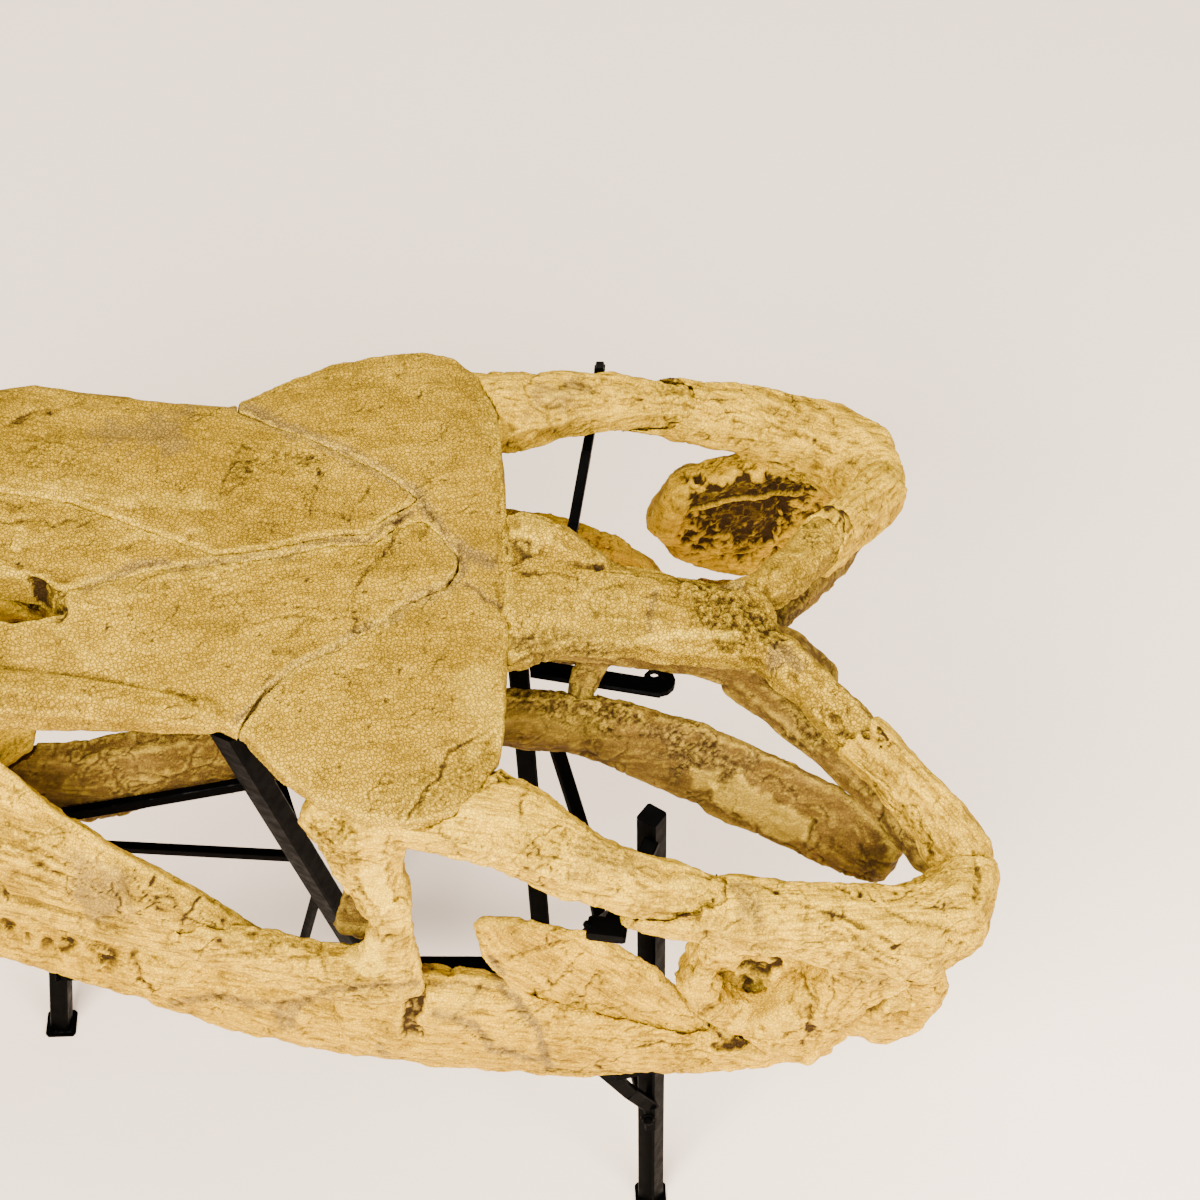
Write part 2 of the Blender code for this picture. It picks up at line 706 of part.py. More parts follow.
def disc(centre, radius, high, sides=12):
    """A flat round plate in the stand's level plane."""
    mesh = bmesh.new()
    bmesh.ops.create_cone(
        mesh, cap_ends=True, segments=sides, radius1=radius * MM, radius2=radius * MM, depth=high * MM
    )
    bmesh.ops.translate(mesh, vec=stand_to_world(*centre), verts=mesh.verts)
    bmesh.ops.triangulate(mesh, faces=mesh.faces)
    return as_object("disc", mesh)


def stand_frame():
    """The welded tripod: front leg, low spine, near and far posts, and the struts between them."""
    low = CROSS_HEIGHT
    bars = [
        straight_bar((FRONT_FOOT[0], FRONT_FOOT[1], 2.4), FRONT_TOP, TUBE),
        straight_bar((-486.0, 20.0, low), (30.0, 0.0, low), TUBE + 1),
        straight_bar(DIAGONAL_FOOT, DIAGONAL_TOP, TUBE + 4, TUBE),
        straight_bar(CENTRE_FOOT, CENTRE_TOP, TUBE - 1),
        straight_bar((-450.0, 13.0, 352.0), (-203.0, -72.0, 440.0), ROD + 1),
        straight_bar((-193.0, -58.0, 372.0), (-240.0, 4.0, low), ROD),
        straight_bar((POST_X, POST_Y, 2.0), (POST_X - 8, POST_Y + 6, POST_TOP), TUBE),
        straight_bar((FAR_POST[0] + 4, 6.0, low + 1), (*FAR_POST, low + 1), TUBE + 1.5),
        straight_bar((*FAR_POST, 2.0), (*FAR_POST, 762.0), TUBE),
        foot_pad(FRONT_FOOT[0], FRONT_FOOT[1]),
        foot_pad(POST_X, POST_Y),
        foot_pad(*FAR_POST),
    ]
    bars += bent_bar(((8, -2, 590), (38, -20, 537), (62, -60, 452), (84, -120, 317), (116, -198, 190)), 13, 11)
    return fuse("stand_frame", bars)


def stand_jaw_arm(side):
    """The arm on each post that holds up the lower jaw."""
    if side == LEFT:
        x, y = POST_X - 3, POST_Y - 10.5
        bars = bent_bar([(x, y, 205.0), (100, -232, 262), (62, -250, 356)], 13)
        bars.append(straight_bar((86, -240, 306), (170, -252, 356), 9))
    else:
        x, y = FAR_POST[0], FAR_POST[1] + 10.5
        bars = bent_bar([(x, y, 290.0), (x + 3, y + 16, 315), (x + 4, 222, 366)], 13)
    height = 172.0 if side == LEFT else 260.0
    bars.append(straight_bar((x, y, height), (x - 1, y, height + 42), 18, 12))
    return fuse("stand_jaw_arm_" + SIDE_NAMES[side], bars)


def stand_bar_clip():
    """The bracket on the near post that passes under the left temporal bar, and its thin brace."""
    bars = bent_bar([(POST_X - 8, POST_Y - 4.6, 645), (98, -252, 635), (77, -290, 630)], 14, 9)
    bars.append(straight_bar((78, -281, 631), (75, -298, 629), 34, 13))
    bars.append(straight_bar((86, -268, 632), (30, -14, 160), ROD - 2))
    return fuse("stand_bar_clip", bars)


def stand_palate_fork(side):
    """A flat rod along each side of the palate, carried by the diagonal strut."""
    if side == LEFT:
        bars = bent_bar([(-440, -122, 578), (-330, -124, 606), (-222, -125, 633)], 8, 12)
    else:
        bars = bent_bar([(-440, 96, 508), (-330, 92, 542), (-226, 86, 566)], 12, 8)
        bars += bent_bar([(-204, -88, 500), (-232, 0, 520), (-300, 94, 548)], 10)
    return fuse("stand_palate_fork_" + SIDE_NAMES[side], bars)


def stand_bar_hook():
    """The tall rod that reaches under the right temporal bar and hooks over its outer side."""
    path = [
        (16, 9, 560), (61, 170, 628), (76, 244, 650), (84, 298, 642), (90, 323, 658), (92, 326, 686), (91, 308, 695),
    ]
    return fuse("stand_bar_hook", bent_bar(path, 10))


def stand_braincase_strap():
    """The flat tongue under the braincase, drilled near its rounded end."""
    strap = fuse("stand_braincase_strap", [straight_bar((12, 4, 622), (136, -24, 620), 20, 6), disc((134, -16, 620), 15, 6.5)])
    cut(strap, disc((130, -8, 620), 4.5, 20, sides=8))
    keep_largest(strap)
    return strap


BONE_ORDER = (
    ("frontal", ("premaxilla",)),
    ("prefrontal", ("premaxilla",)),
    ("parietal", ("frontal",)),
    ("braincase", ("frontal", "parietal")),
    ("supratemporal", ("parietal", "braincase")),
    ("postorbitofrontal", ("frontal", "prefrontal", "parietal")),
    ("squamosal", ("postorbitofrontal", "supratemporal", "parietal", "braincase")),
    ("maxilla", ("premaxilla", "frontal", "prefrontal")),
    ("jugal", ("maxilla", "postorbitofrontal")),
    ("quadrate", ("squamosal", "supratemporal", "postorbitofrontal", "braincase")),
    ("pterygoid", ("braincase", "parietal", "quadrate", "maxilla", "jugal", "squamosal", "supratemporal")),
    ("dentary", ("premaxilla", "maxilla", "pterygoid", "jugal")),
    ("coronoid", ("quadrate", "jugal", "pterygoid")),
    ("surangular", ("coronoid", "dentary", "quadrate", "pterygoid", "jugal")),
)
TWINS = ("prefrontal", "supratemporal", "postorbitofrontal", "squamosal", "jugal", "quadrate", "pterygoid",
         "maxilla", "dentary", "surangular", "coronoid")


def make_bones():
    makers = {
        "frontal": frontal, "prefrontal": prefrontal, "parietal": parietal, "premaxilla": premaxilla,
        "braincase": braincase, "supratemporal": supratemporal, "postorbitofrontal": postorbitofrontal,
        "squamosal": squamosal, "jugal": jugal, "quadrate": quadrate, "pterygoid": pterygoid,
        "maxilla": maxilla, "dentary": dentary, "surangular": surangular, "coronoid": coronoid,
    }
    bones = {}
    for name, maker in makers.items():
        if name not in TWINS:
            bones[name] = maker()
            continue
        for side in (LEFT, RIGHT):
            bones[name + "_" + SIDE_NAMES[side]] = maker(side)
    return bones


def part_bones(bones):
    """Cuts each bone back from the neighbours that it meets, so that faces meet with a thin gap."""
    for name, others in BONE_ORDER:
        sides = (LEFT, RIGHT) if name in TWINS else (None,)
        for side in sides:
            full = name if side is None else name + "_" + SIDE_NAMES[side]
            near = []
            for other in others:
                if other in TWINS and side is None:
                    near += [bones[other + "_" + word] for word in SIDE_NAMES.values()]
                elif other in TWINS:
                    near.append(bones[other + "_" + SIDE_NAMES[side]])
                else:
                    near.append(bones[other])
            cut_clear(bones[full], *near)


def make_stand(bones):
    """The frame first; then each arm, cut back from the frame and from the bones that it holds."""
    frame = stand_frame()
    met = ("frontal", "prefrontal_left", "prefrontal_right", "braincase", "parietal", "pterygoid_left", "maxilla_left")
    cut_clear(frame, *(bones[name] for name in met))
    arms = (
        (stand_jaw_arm(LEFT), ("surangular_left", "dentary_left")),
        (stand_jaw_arm(RIGHT), ("surangular_right", "dentary_right")),
        (stand_bar_clip(), ("postorbitofrontal_left", "squamosal_left", "coronoid_left")),
        (stand_palate_fork(LEFT), ("pterygoid_left", "maxilla_left")),
        (stand_palate_fork(RIGHT), ("pterygoid_right", "pterygoid_left")),
        (stand_braincase_strap(), ("braincase",)),
        (stand_bar_hook(), ("postorbitofrontal_right", "squamosal_right", "pterygoid_right")),
    )
    stand = {frame.name: frame}
    for arm, held in arms:
        cut_clear(arm, frame, *(bones[bone] for bone in held))
        stand[arm.name] = arm
    return stand


def main():
    clear_scene()
    skull = bpy.data.collections.new("mosasaur_skull")
    bpy.context.scene.collection.children.link(skull)
    bones = make_bones()
    part_bones(bones)
    nodes = {**bones, **make_stand(bones)}
    for name, node in nodes.items():
        look = STEEL_LOOK if name.startswith("stand_") else BONE_LOOK
        node.data.materials.clear()
        node.data.materials.append(make_material(name + "_finish", *look))
        skull.objects.link(node)
        bpy.context.scene.collection.objects.unlink(node)


if __name__ == "__main__":
    main()
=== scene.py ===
"""A fossil mosasaur skull on its welded steel museum stand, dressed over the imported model."""
import json
import logging
import math
from dataclasses import dataclass
from enum import Enum

import bmesh
import bpy
import numpy as np
from mathutils import Matrix, Vector

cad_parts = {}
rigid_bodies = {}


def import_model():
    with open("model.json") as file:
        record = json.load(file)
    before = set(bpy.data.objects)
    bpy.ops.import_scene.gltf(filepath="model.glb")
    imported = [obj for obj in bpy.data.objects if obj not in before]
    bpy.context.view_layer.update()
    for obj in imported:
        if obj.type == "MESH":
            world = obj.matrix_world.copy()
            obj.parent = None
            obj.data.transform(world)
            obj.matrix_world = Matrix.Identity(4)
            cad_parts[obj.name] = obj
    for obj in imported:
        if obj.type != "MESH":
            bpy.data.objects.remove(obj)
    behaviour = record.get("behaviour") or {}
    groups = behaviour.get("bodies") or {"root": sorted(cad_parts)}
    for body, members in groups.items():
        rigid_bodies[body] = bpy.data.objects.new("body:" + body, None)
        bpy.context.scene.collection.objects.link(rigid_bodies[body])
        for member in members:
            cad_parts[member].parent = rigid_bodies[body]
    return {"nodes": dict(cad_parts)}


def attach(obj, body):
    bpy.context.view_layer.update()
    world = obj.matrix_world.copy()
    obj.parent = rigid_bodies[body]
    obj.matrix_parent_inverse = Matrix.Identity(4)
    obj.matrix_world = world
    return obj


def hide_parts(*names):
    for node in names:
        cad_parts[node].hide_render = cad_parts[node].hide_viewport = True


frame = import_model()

LOG = logging.getLogger("mosasaur_skull")
MM = 0.001
FRAME_SIZE = 1200
VOXEL = 2.4
MASKS = ("hollow", "crest", "fill", "sponge", "shade", "pale")
STROKE_SHADE = 0.42
PATCH_SHADE = 0.62
UNDERSIDE_SHADE = 0.4
# Pale scuffed-bone colour, also used as painted highlight on crests and pale marks.
PALE_WEAR_AND_PAINTED_HIGHLIGHT = (0.90, 0.60, 0.04, 1)
MAXILLA_SPACING = 1.07
TOOTH_FLARE = 1.08
TOOTH_STRETCH = 1.2


class Side(Enum):
    """The two sides of the animal, with the sign of y on each."""

    LEFT = -1
    RIGHT = 1

    @property
    def word(self) -> str:
        """The side's name as the nodes spell it."""
        return self.name.lower()


# Noise in code, for shapes that have to be in the mesh


def lattice(cell: np.ndarray, seed: int) -> np.ndarray:
    """One fixed random number in 0..1 for every lattice cell.

    Args:
        cell: whole-number cell coordinates, n by 3.
        seed: which set of numbers.

    Returns:
        n values.
    """
    mixed = cell[:, 0] * 73856093 ^ cell[:, 1] * 19349663 ^ cell[:, 2] * 83492791 ^ (seed * 2654435761)
    mixed = (mixed ^ (mixed >> 13)) * 1274126177
    mixed ^= mixed >> 16
    return (mixed & 0xFFFFFF) / float(0xFFFFFF)


def soft_noise(at: np.ndarray, seed: int) -> np.ndarray:
    """Smooth noise between -1 and 1 with features one unit across.

    Args:
        at: where, n by 3.
        seed: which field.

    Returns:
        n values.
    """
    cell = np.floor(at).astype(np.int64)
    part = at - cell
    ease = part * part * part * (part * (part * 6 - 15) + 10)
    total = np.zeros(len(at))
    for corner in range(8):
        step = np.array([corner & 1, corner >> 1 & 1, corner >> 2 & 1])
        weight = np.prod(np.where(step, ease, 1 - ease), axis=1)
        total += weight * lattice(cell + step, seed)
    return total * 2 - 1


def layered(at: np.ndarray, seed: int, octaves: int = 3) -> np.ndarray:
    """Several octaves of soft noise, each half the size and strength of the last."""
    return sum(soft_noise(at * 2**k + 17.3 * k, seed + k) / 2**k for k in range(octaves))


def nearest_cells(at: np.ndarray, seed: int) -> tuple[np.ndarray, np.ndarray, np.ndarray]:
    """Distances to the two nearest scattered points, and the nearest one's own number.

    Args:
        at: where, n by 3, with about one scattered point in each unit cell.
        seed: which scatter.

    Returns:
        Nearest distance, second distance, and the nearest point's number in 0..1.
    """
    home = np.floor(at).astype(np.int64)
    first, second, mark = np.full(len(at), 9.0), np.full(len(at), 9.0), np.zeros(len(at))
    for dx in (-1, 0, 1):
        for dy in (-1, 0, 1):
            for dz in (-1, 0, 1):
                cell = home + np.array([dx, dy, dz])
                point = cell + np.stack([lattice(cell, seed + k) for k in (1, 2, 3)], axis=1)
                far = np.linalg.norm(at - point, axis=1)
                closer = far < first
                second = np.where(closer, first, np.minimum(second, far))
                mark = np.where(closer, lattice(cell, seed + 9), mark)
                first = np.where(closer, far, first)
    return first, second, mark


def ramp(value: np.ndarray, low: float, high: float) -> np.ndarray:
    """Smooth step from 0 at low to 1 at high."""
    share = np.clip((value - low) / (high - low), 0.0, 1.0)
    return share * share * (3 - 2 * share)


# The photographer's place, which also lays out the marks on the bones


@dataclass(frozen=True)
class Viewpoint:
    """Where the camera stands, in metres, and how it looks down."""

    place: tuple[float, float, float] = (0.2974, -1.6325, 2.654)
    elevation: float = math.radians(50)
    azimuth: float = math.radians(-2)
    lens: float = 85.2
    sensor: float = 36.0

    def axes(self) -> tuple[np.ndarray, np.ndarray, np.ndarray]:
        """The camera's right, up and backward directions."""
        cos_el, sin_el = math.cos(self.elevation), math.sin(self.elevation)
        cos_az, sin_az = math.cos(self.azimuth), math.sin(self.azimuth)
        back = np.array([sin_az * cos_el, -cos_az * cos_el, sin_el])
        right = np.array([cos_az, sin_az, 0.0])
        return right, np.cross(back, right), back

    def picture(self, points: np.ndarray) -> np.ndarray:
        """Where points in metres fall in the 1200 by 1200 picture."""
        right, up, back = self.axes()
        away = points - np.array(self.place)
        depth = -(away @ back)
        scale = self.lens / self.sensor * FRAME_SIZE / depth
        half = FRAME_SIZE / 2
        return np.stack([half + scale * (away @ right), half - scale * (away @ up)], axis=1)

    def make_camera(self) -> bpy.types.Object:
        """Builds the camera and makes it the scene's own."""
        data = bpy.data.cameras.new("photo_camera")
        data.lens = self.lens
        data.sensor_width = self.sensor
        data.clip_end = 50.0
        camera = bpy.data.objects.new("photo_camera", data)
        bpy.context.scene.collection.objects.link(camera)
        right, up, back = self.axes()
        turn = Matrix((right, up, back)).transposed().to_4x4()
        camera.matrix_world = Matrix.Translation(self.place) @ turn
        bpy.context.scene.camera = camera
        return camera


VIEW = Viewpoint()


# Marks that follow the fossil: cracks, ridges, pits, fill and broken bone, with painted shade and painted
# highlights


@dataclass(frozen=True)
class Stroke:
    """A line of relief drawn over a bone: a crack where lift is below zero, darkened partly with painted
    shade, or a ridge, made paler partly as painted highlight.
    """

    path: tuple[tuple[float, float], ...]
    width: float = 4.0
    lift: float = -1.2
    shade: float = 0.6
    waver: float = 3.0
    fill: float = 0.0
    sponge: float = 0.0


@dataclass(frozen=True)
class Patch:
    """An area of a bone with its own surface: plaster fill, broken spongy bone, a stain, painted shade in a
    hollow or on a face in shadow, a pale scrape, or a painted highlight.
    """

    outline: tuple[tuple[float, float], ...]
    fill: float = 0.0
    sponge: float = 0.0
    shade: float = 0.0
    pale: float = 0.0
    lift: float = 0.0
    soft: float = 10.0


def path_distance(at: np.ndarray, path: tuple[tuple[float, float], ...]) -> np.ndarray:
    """Distance of points in the picture from a bent line."""
    best = np.full(len(at), 1e9)
    for start, end in zip(path, path[1:]):
        a, run = np.array(start), np.array(end) - np.array(start)
        share = np.clip((at - a) @ run / max(run @ run, 1e-9), 0, 1)
        best = np.minimum(best, np.linalg.norm(at - a - share[:, None] * run, axis=1))
    return best


def inside_outline(at: np.ndarray, outline: tuple[tuple[float, float], ...], soft: float) -> np.ndarray:
    """1 well inside an outline in the picture, 0 well outside, soft between."""
    within = np.zeros(len(at), bool)
    for (xa, ya), (xb, yb) in zip(outline, outline[1:] + outline[:1]):
        if ya != yb:
            crosses = (ya > at[:, 1]) != (yb > at[:, 1])
            within ^= crosses & (at[:, 0] < (xb - xa) * (at[:, 1] - ya) / (yb - ya) + xa)
    far = path_distance(at, outline + outline[:1])
    return ramp(np.where(within, far, -far), -soft / 2, soft / 2)


@dataclass(frozen=True)
class Weathering:
    """How rough a bone's surface is, in millimetres of relief."""

    swell: float = 1.3
    lumps: float = 0.6
    fibres: float = 0.4
    splits: float = 0.9
    cracks: float = 0.9
    pits: float = 1.0
    pit_share: float = 0.10
    chips: float = 1.8
    rough_patches: float = 0.7
    creases: float = 1.5
    seed: int = 1


class BoneShape:
    """One bone's fine surface, worked on as arrays in millimetres."""

    def __init__(self, node: str, voxel: float) -> None:
        """Copies the node's solid and lays an even fine mesh over it.

        Args:
            node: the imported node.
            voxel: spacing of the new mesh, in millimetres.
        """
        self.node = node
        source = bpy.data.objects.new(node + "_source", frame["nodes"][node].data.copy())
        bpy.context.scene.collection.objects.link(source)
        welded = bmesh.new()
        welded.from_mesh(source.data)
        bmesh.ops.remove_doubles(welded, verts=welded.verts, dist=1e-6)
        bmesh.ops.recalc_face_normals(welded, faces=welded.faces)
        welded.to_mesh(source.data)
        welded.free()
        skin = source.modifiers.new("even", "REMESH")
        skin.mode = "VOXEL"
        skin.voxel_size = voxel * MM
        graph = bpy.context.evaluated_depsgraph_get()
        self.mesh = bpy.data.meshes.new_from_object(source.evaluated_get(graph))
        self.mesh.name = node + "_skin"
        bpy.data.objects.remove(source, do_unlink=True)
        count = len(self.mesh.vertices)
        flat = np.empty(count * 3)
        self.mesh.vertices.foreach_get("co", flat)
        self.points = flat.reshape(-1, 3) / MM
        pairs = np.empty(len(self.mesh.edges) * 2, np.int64)
        self.mesh.edges.foreach_get("vertices", pairs)
        self.edges = pairs.reshape(-1, 2)
        self.degree = np.bincount(self.edges.ravel(), minlength=count)[:, None].astype(float)
        for mask in MASKS:
            setattr(self, mask, np.zeros(count))

    def around(self, values: np.ndarray) -> np.ndarray:
        """The mean over each point's neighbours of some values, n by k."""
        total = np.zeros_like(values)
        a, b = self.edges[:, 0], self.edges[:, 1]
        for k in range(values.shape[1]):
            total[:, k] = np.bincount(a, values[b, k], len(values)) + np.bincount(b, values[a, k],
                    len(values))
        return total / self.degree

    def relax(self, rounds: int) -> None:
        """Smooths facets away without shrinking the bone."""
        for _ in range(rounds):
            self.points += 0.6 * (self.around(self.points) - self.points)
            self.points -= 0.62 * (self.around(self.points) - self.points)

    def normals(self) -> np.ndarray:
        """Outward directions at the points."""
        self.mesh.vertices.foreach_set("co", (self.points * MM).ravel())
        self.mesh.update()
        flat = np.empty(len(self.points) * 3)
        self.mesh.vertex_normals.foreach_get("vector", flat)
        return flat.reshape(-1, 3)

    def push(self, height: np.ndarray) -> None:
        """Moves each point out by a height in millimetres."""
        self.points += self.normals() * height[:, None]

    def lay_grain(self, along: tuple[tuple[float, float, float], ...] | None) -> None:
        """Fibre coordinates in millimetres: run along the bone, then two offsets across it.

        Args:
            along: a bent line through the bone in metres, or None for its own longest direction.
        """
        centre = self.points.mean(axis=0)
        if along is None:
            spread = np.cov((self.points - centre).T)
            axes = np.linalg.eigh(spread)[1][:, ::-1]
            self.grain = (self.points - centre) @ axes
            return
        line = np.array(along) / MM
        best = np.full(len(self.points), 1e9)
        self.grain = np.zeros_like(self.points)
        run_before = 0.0
        for a, b in zip(line, line[1:]):
            run = b - a
            length = np.linalg.norm(run)
            way = run / length
            side = np.cross(way, (0, 0, 1.0))
            side /= max(np.linalg.norm(side), 1e-6)
            lift = np.cross(side, way)
            away = self.points - a
            share = np.clip(away @ way, 0, length)
            far = np.linalg.norm(away - share[:, None] * way, axis=1)
            closer = far < best
            found = np.stack([run_before + away @ way, away @ side, away @ lift], axis=1)
            self.grain[closer] = found[closer]
            best = np.minimum(best, far)
            run_before += length

    def weather(self, how: Weathering) -> None:
        """Presses the general fossil relief into the surface, and darkens its splits, cracks and pits with
        their dark colour and painted shade.

        Args:
            how: depths of each kind of relief.
        """
        p, s = self.points, how.seed * 31
        bend = np.stack([layered(p / 30, s + k, 2) for k in (1, 2, 3)], axis=1)
        g = self.grain + bend * 7
        height = how.swell * layered(p / 52, s + 4, 3) + how.lumps * layered(p / 15, s + 8, 3)
        height += how.fibres * layered(g / (42, 6.5, 6.5), s + 12, 2)
        thread = 1 - np.abs(soft_noise(g / (85, 14, 14), s + 15))
        split = ramp(thread, 0.94, 1.0) * ramp(soft_noise(p / 40, s + 16), 0.1, 0.45)
        first, second, _ = nearest_cells((p + bend * 17) / 64, s + 20)
        crack = ramp(first - second, -0.045, 0.0) * ramp(soft_noise(p / 34, s + 24), 0.08, 0.35)
        near, _, mark = nearest_cells(g / (9.5, 6.5, 6.5), s + 30)
        pit = (mark < how.pit_share) * ramp(-near, -0.42, -0.12) * (0.4 + 0.6 * mark / how.pit_share)
        normal = self.normals()
        wide = self.points
        for _ in range(10):
            wide = self.around(wide)
        sharp = ramp(-np.einsum("ij,ij->i", wide - self.points, normal), 0.7, 3.0)
        chip = sharp * ramp(layered(p / 11, s + 40, 2), 0.0, 0.5)
        fold = ramp(1 - np.abs(layered((p + bend * 6) / 24, s + 52, 2)), 0.70, 1.0)
        height -= how.creases * fold * ramp(soft_noise(p / 60, s + 56), -0.35, 0.3)
        patch = ramp(layered(p / 48, s + 44, 3), 0.45, 0.8) * how.rough_patches
        height += patch * layered(p / 6, s + 48, 2) * 1.1
        height -= how.splits * split + how.cracks * crack + how.pits * pit + how.chips * chip
        self.push(height)
        # Splits, cracks and pits get darker: their own dark colour, and partly painted shade in the recesses.
        self.shade += 0.35 * split + 0.45 * crack + 0.45 * pit
        self.sponge = np.maximum(self.sponge, np.maximum(0.6 * patch, 0.5 * chip))

    def draw(self, marks: tuple["Stroke | Patch", ...]) -> None:
        """Presses the fossil's own marks, painted shade and painted highlights among them, into the side of
        the bone that faces the viewpoint.

        Args:
            marks: strokes and patches, in the picture's coordinates.
        """
        if not marks:
            return
        here = self.points * MM
        toward = np.array(VIEW.place) - here
        toward /= np.linalg.norm(toward, axis=1)[:, None]
        faces = ramp(np.einsum("ij,ij->i", self.normals(), toward), 0.02, 0.3)
        at = VIEW.picture(here)
        fine = np.stack([layered(self.points / 13, 71 + k, 3) for k in (0, 1)], axis=1)
        waxing = 0.45 + 0.55 * ramp(layered(self.points / 20, 61, 2), -0.35, 0.25)
        broad = np.stack([layered(self.points / 14, 81 + k, 3) for k in (0, 1)], axis=1)
        rough = layered(self.points / 5.5, 91, 3)
        height = np.zeros(len(at))
        for mark in marks:
            line = mark.path if isinstance(mark, Stroke) else mark.outline
            low, high = np.min(line, axis=0) - 30, np.max(line, axis=0) + 30
            some = np.flatnonzero(np.all((at > low) & (at < high), axis=1) & (faces > 0))
            if isinstance(mark, Stroke):
                far = path_distance(at[some] + fine[some] * mark.waver, mark.path)
                solid = ramp(-far, -mark.width, -mark.width * 0.15) * faces[some]
                amount = solid * waxing[some]
                # Cracks take the shade mask and ridges the pale mask: partly the bone's own colour, partly
                # painted shade and painted highlight.
                shade, pale = (mark.shade, 0.0) if mark.lift < 0 else (0.0, mark.shade)
            else:
                spot = at[some] + broad[some] * mark.soft * 0.8
                solid = amount = inside_outline(spot, mark.outline, mark.soft) * faces[some]
                shade, pale = mark.shade, mark.pale
            height[some] += (mark.lift + mark.sponge * rough[some] * 1.6) * amount
            self.fill[some] = np.maximum(self.fill[some], mark.fill * solid)
            self.sponge[some] = np.maximum(self.sponge[some], mark.sponge * amount)
            self.shade[some] += (STROKE_SHADE if isinstance(mark, Stroke) else PATCH_SHADE) * shade * amount
            self.pale[some] += pale * amount
        self.push(height)

    def read_relief(self) -> None:
        """Finds hollows and crests from how the finished surface bends, at two scales."""
        normal = self.normals()
        near = np.einsum("ij,ij->i", self.around(self.points) - self.points, normal)
        wide = self.points.copy()
        for _ in range(14):
            wide = self.around(wide)
        broad = np.einsum("ij,ij->i", wide - self.points, normal)
        # The hollow mask later darkens the colour as painted shade; the crest mask lightens it, as pale
        # scuffed bone and painted highlight.
        self.hollow = ramp(near, 0.03, 0.36) * 0.6 + ramp(broad, 0.15, 2.0) * 0.8
        self.crest = ramp(-near, 0.03, 0.32) * 0.5 + ramp(-broad, 0.2, 2.0) * 0.6

    def finish(self, name: str, materials: list[bpy.types.Material]) -> bpy.types.Object:
        """Turns the arrays into a piece.

        Args:
            name: the piece's name.
            materials: its finishes; the first covers the bone.

        Returns:
            The linked object, at the origin.
        """
        self.read_relief()
        self.shade += UNDERSIDE_SHADE * ramp(-self.normals()[:, 2], 0.15, 0.85)
        for mask in MASKS:
            layer = self.mesh.attributes.new(mask, "FLOAT", "POINT")
            layer.data.foreach_set("value", np.clip(getattr(self, mask), 0, 1).astype(np.float32))
        layer = self.mesh.attributes.new("grain", "FLOAT_VECTOR", "POINT")
        layer.data.foreach_set("vector", (self.grain * MM).astype(np.float32).ravel())
        self.mesh.materials.clear()
        for material in materials:
            self.mesh.materials.append(material)
        self.mesh.polygons.foreach_set("use_smooth", np.ones(len(self.mesh.polygons), bool))
        piece = bpy.data.objects.new(name, self.mesh)
        bpy.context.scene.collection.objects.link(piece)
        return piece


# Shader building


class NodeTree:
    """Short ways to add and join nodes in any tree."""

    def __init__(self, tree: bpy.types.NodeTree) -> None:
        """Keeps the tree that nodes are added to."""
        self.tree = tree

    def add(self, kind: str, **settings: object) -> bpy.types.Node:
        """Adds a node and sets its properties."""
        node = self.tree.nodes.new(kind)
        for key, value in settings.items():
            setattr(node, key, value)
        return node

    def join(self, source: bpy.types.NodeSocket, target: bpy.types.NodeSocket) -> None:
        """Links two sockets."""
        self.tree.links.new(source, target)

    def feed(self, socket: bpy.types.NodeSocket, value: object) -> None:
        """Links a socket, or sets its value where a number or colour is given."""
        if isinstance(value, bpy.types.NodeSocket):
            self.join(value, socket)
        else:
            socket.default_value = value

    def maths(self, operation: str, a: object, b: object = 0.0, c: object = 0.0,
              clamp: bool = False) -> bpy.types.NodeSocket:
        """A Math node's output."""
        node = self.add("ShaderNodeMath", operation=operation, use_clamp=clamp)
        for socket, value in zip(node.inputs, (a, b, c)):
            self.feed(socket, value)
        return node.outputs[0]

    def times(self, a: object, b: object, clamp: bool = False) -> bpy.types.NodeSocket:
        """The product of two values."""
        return self.maths("MULTIPLY", a, b, clamp=clamp)

    def plus(self, a: object, b: object, clamp: bool = False) -> bpy.types.NodeSocket:
        """The sum of two values."""
        return self.maths("ADD", a, b, clamp=clamp)

    def minus(self, a: object, b: object) -> bpy.types.NodeSocket:
        """The difference of two values."""
        return self.maths("SUBTRACT", a, b)


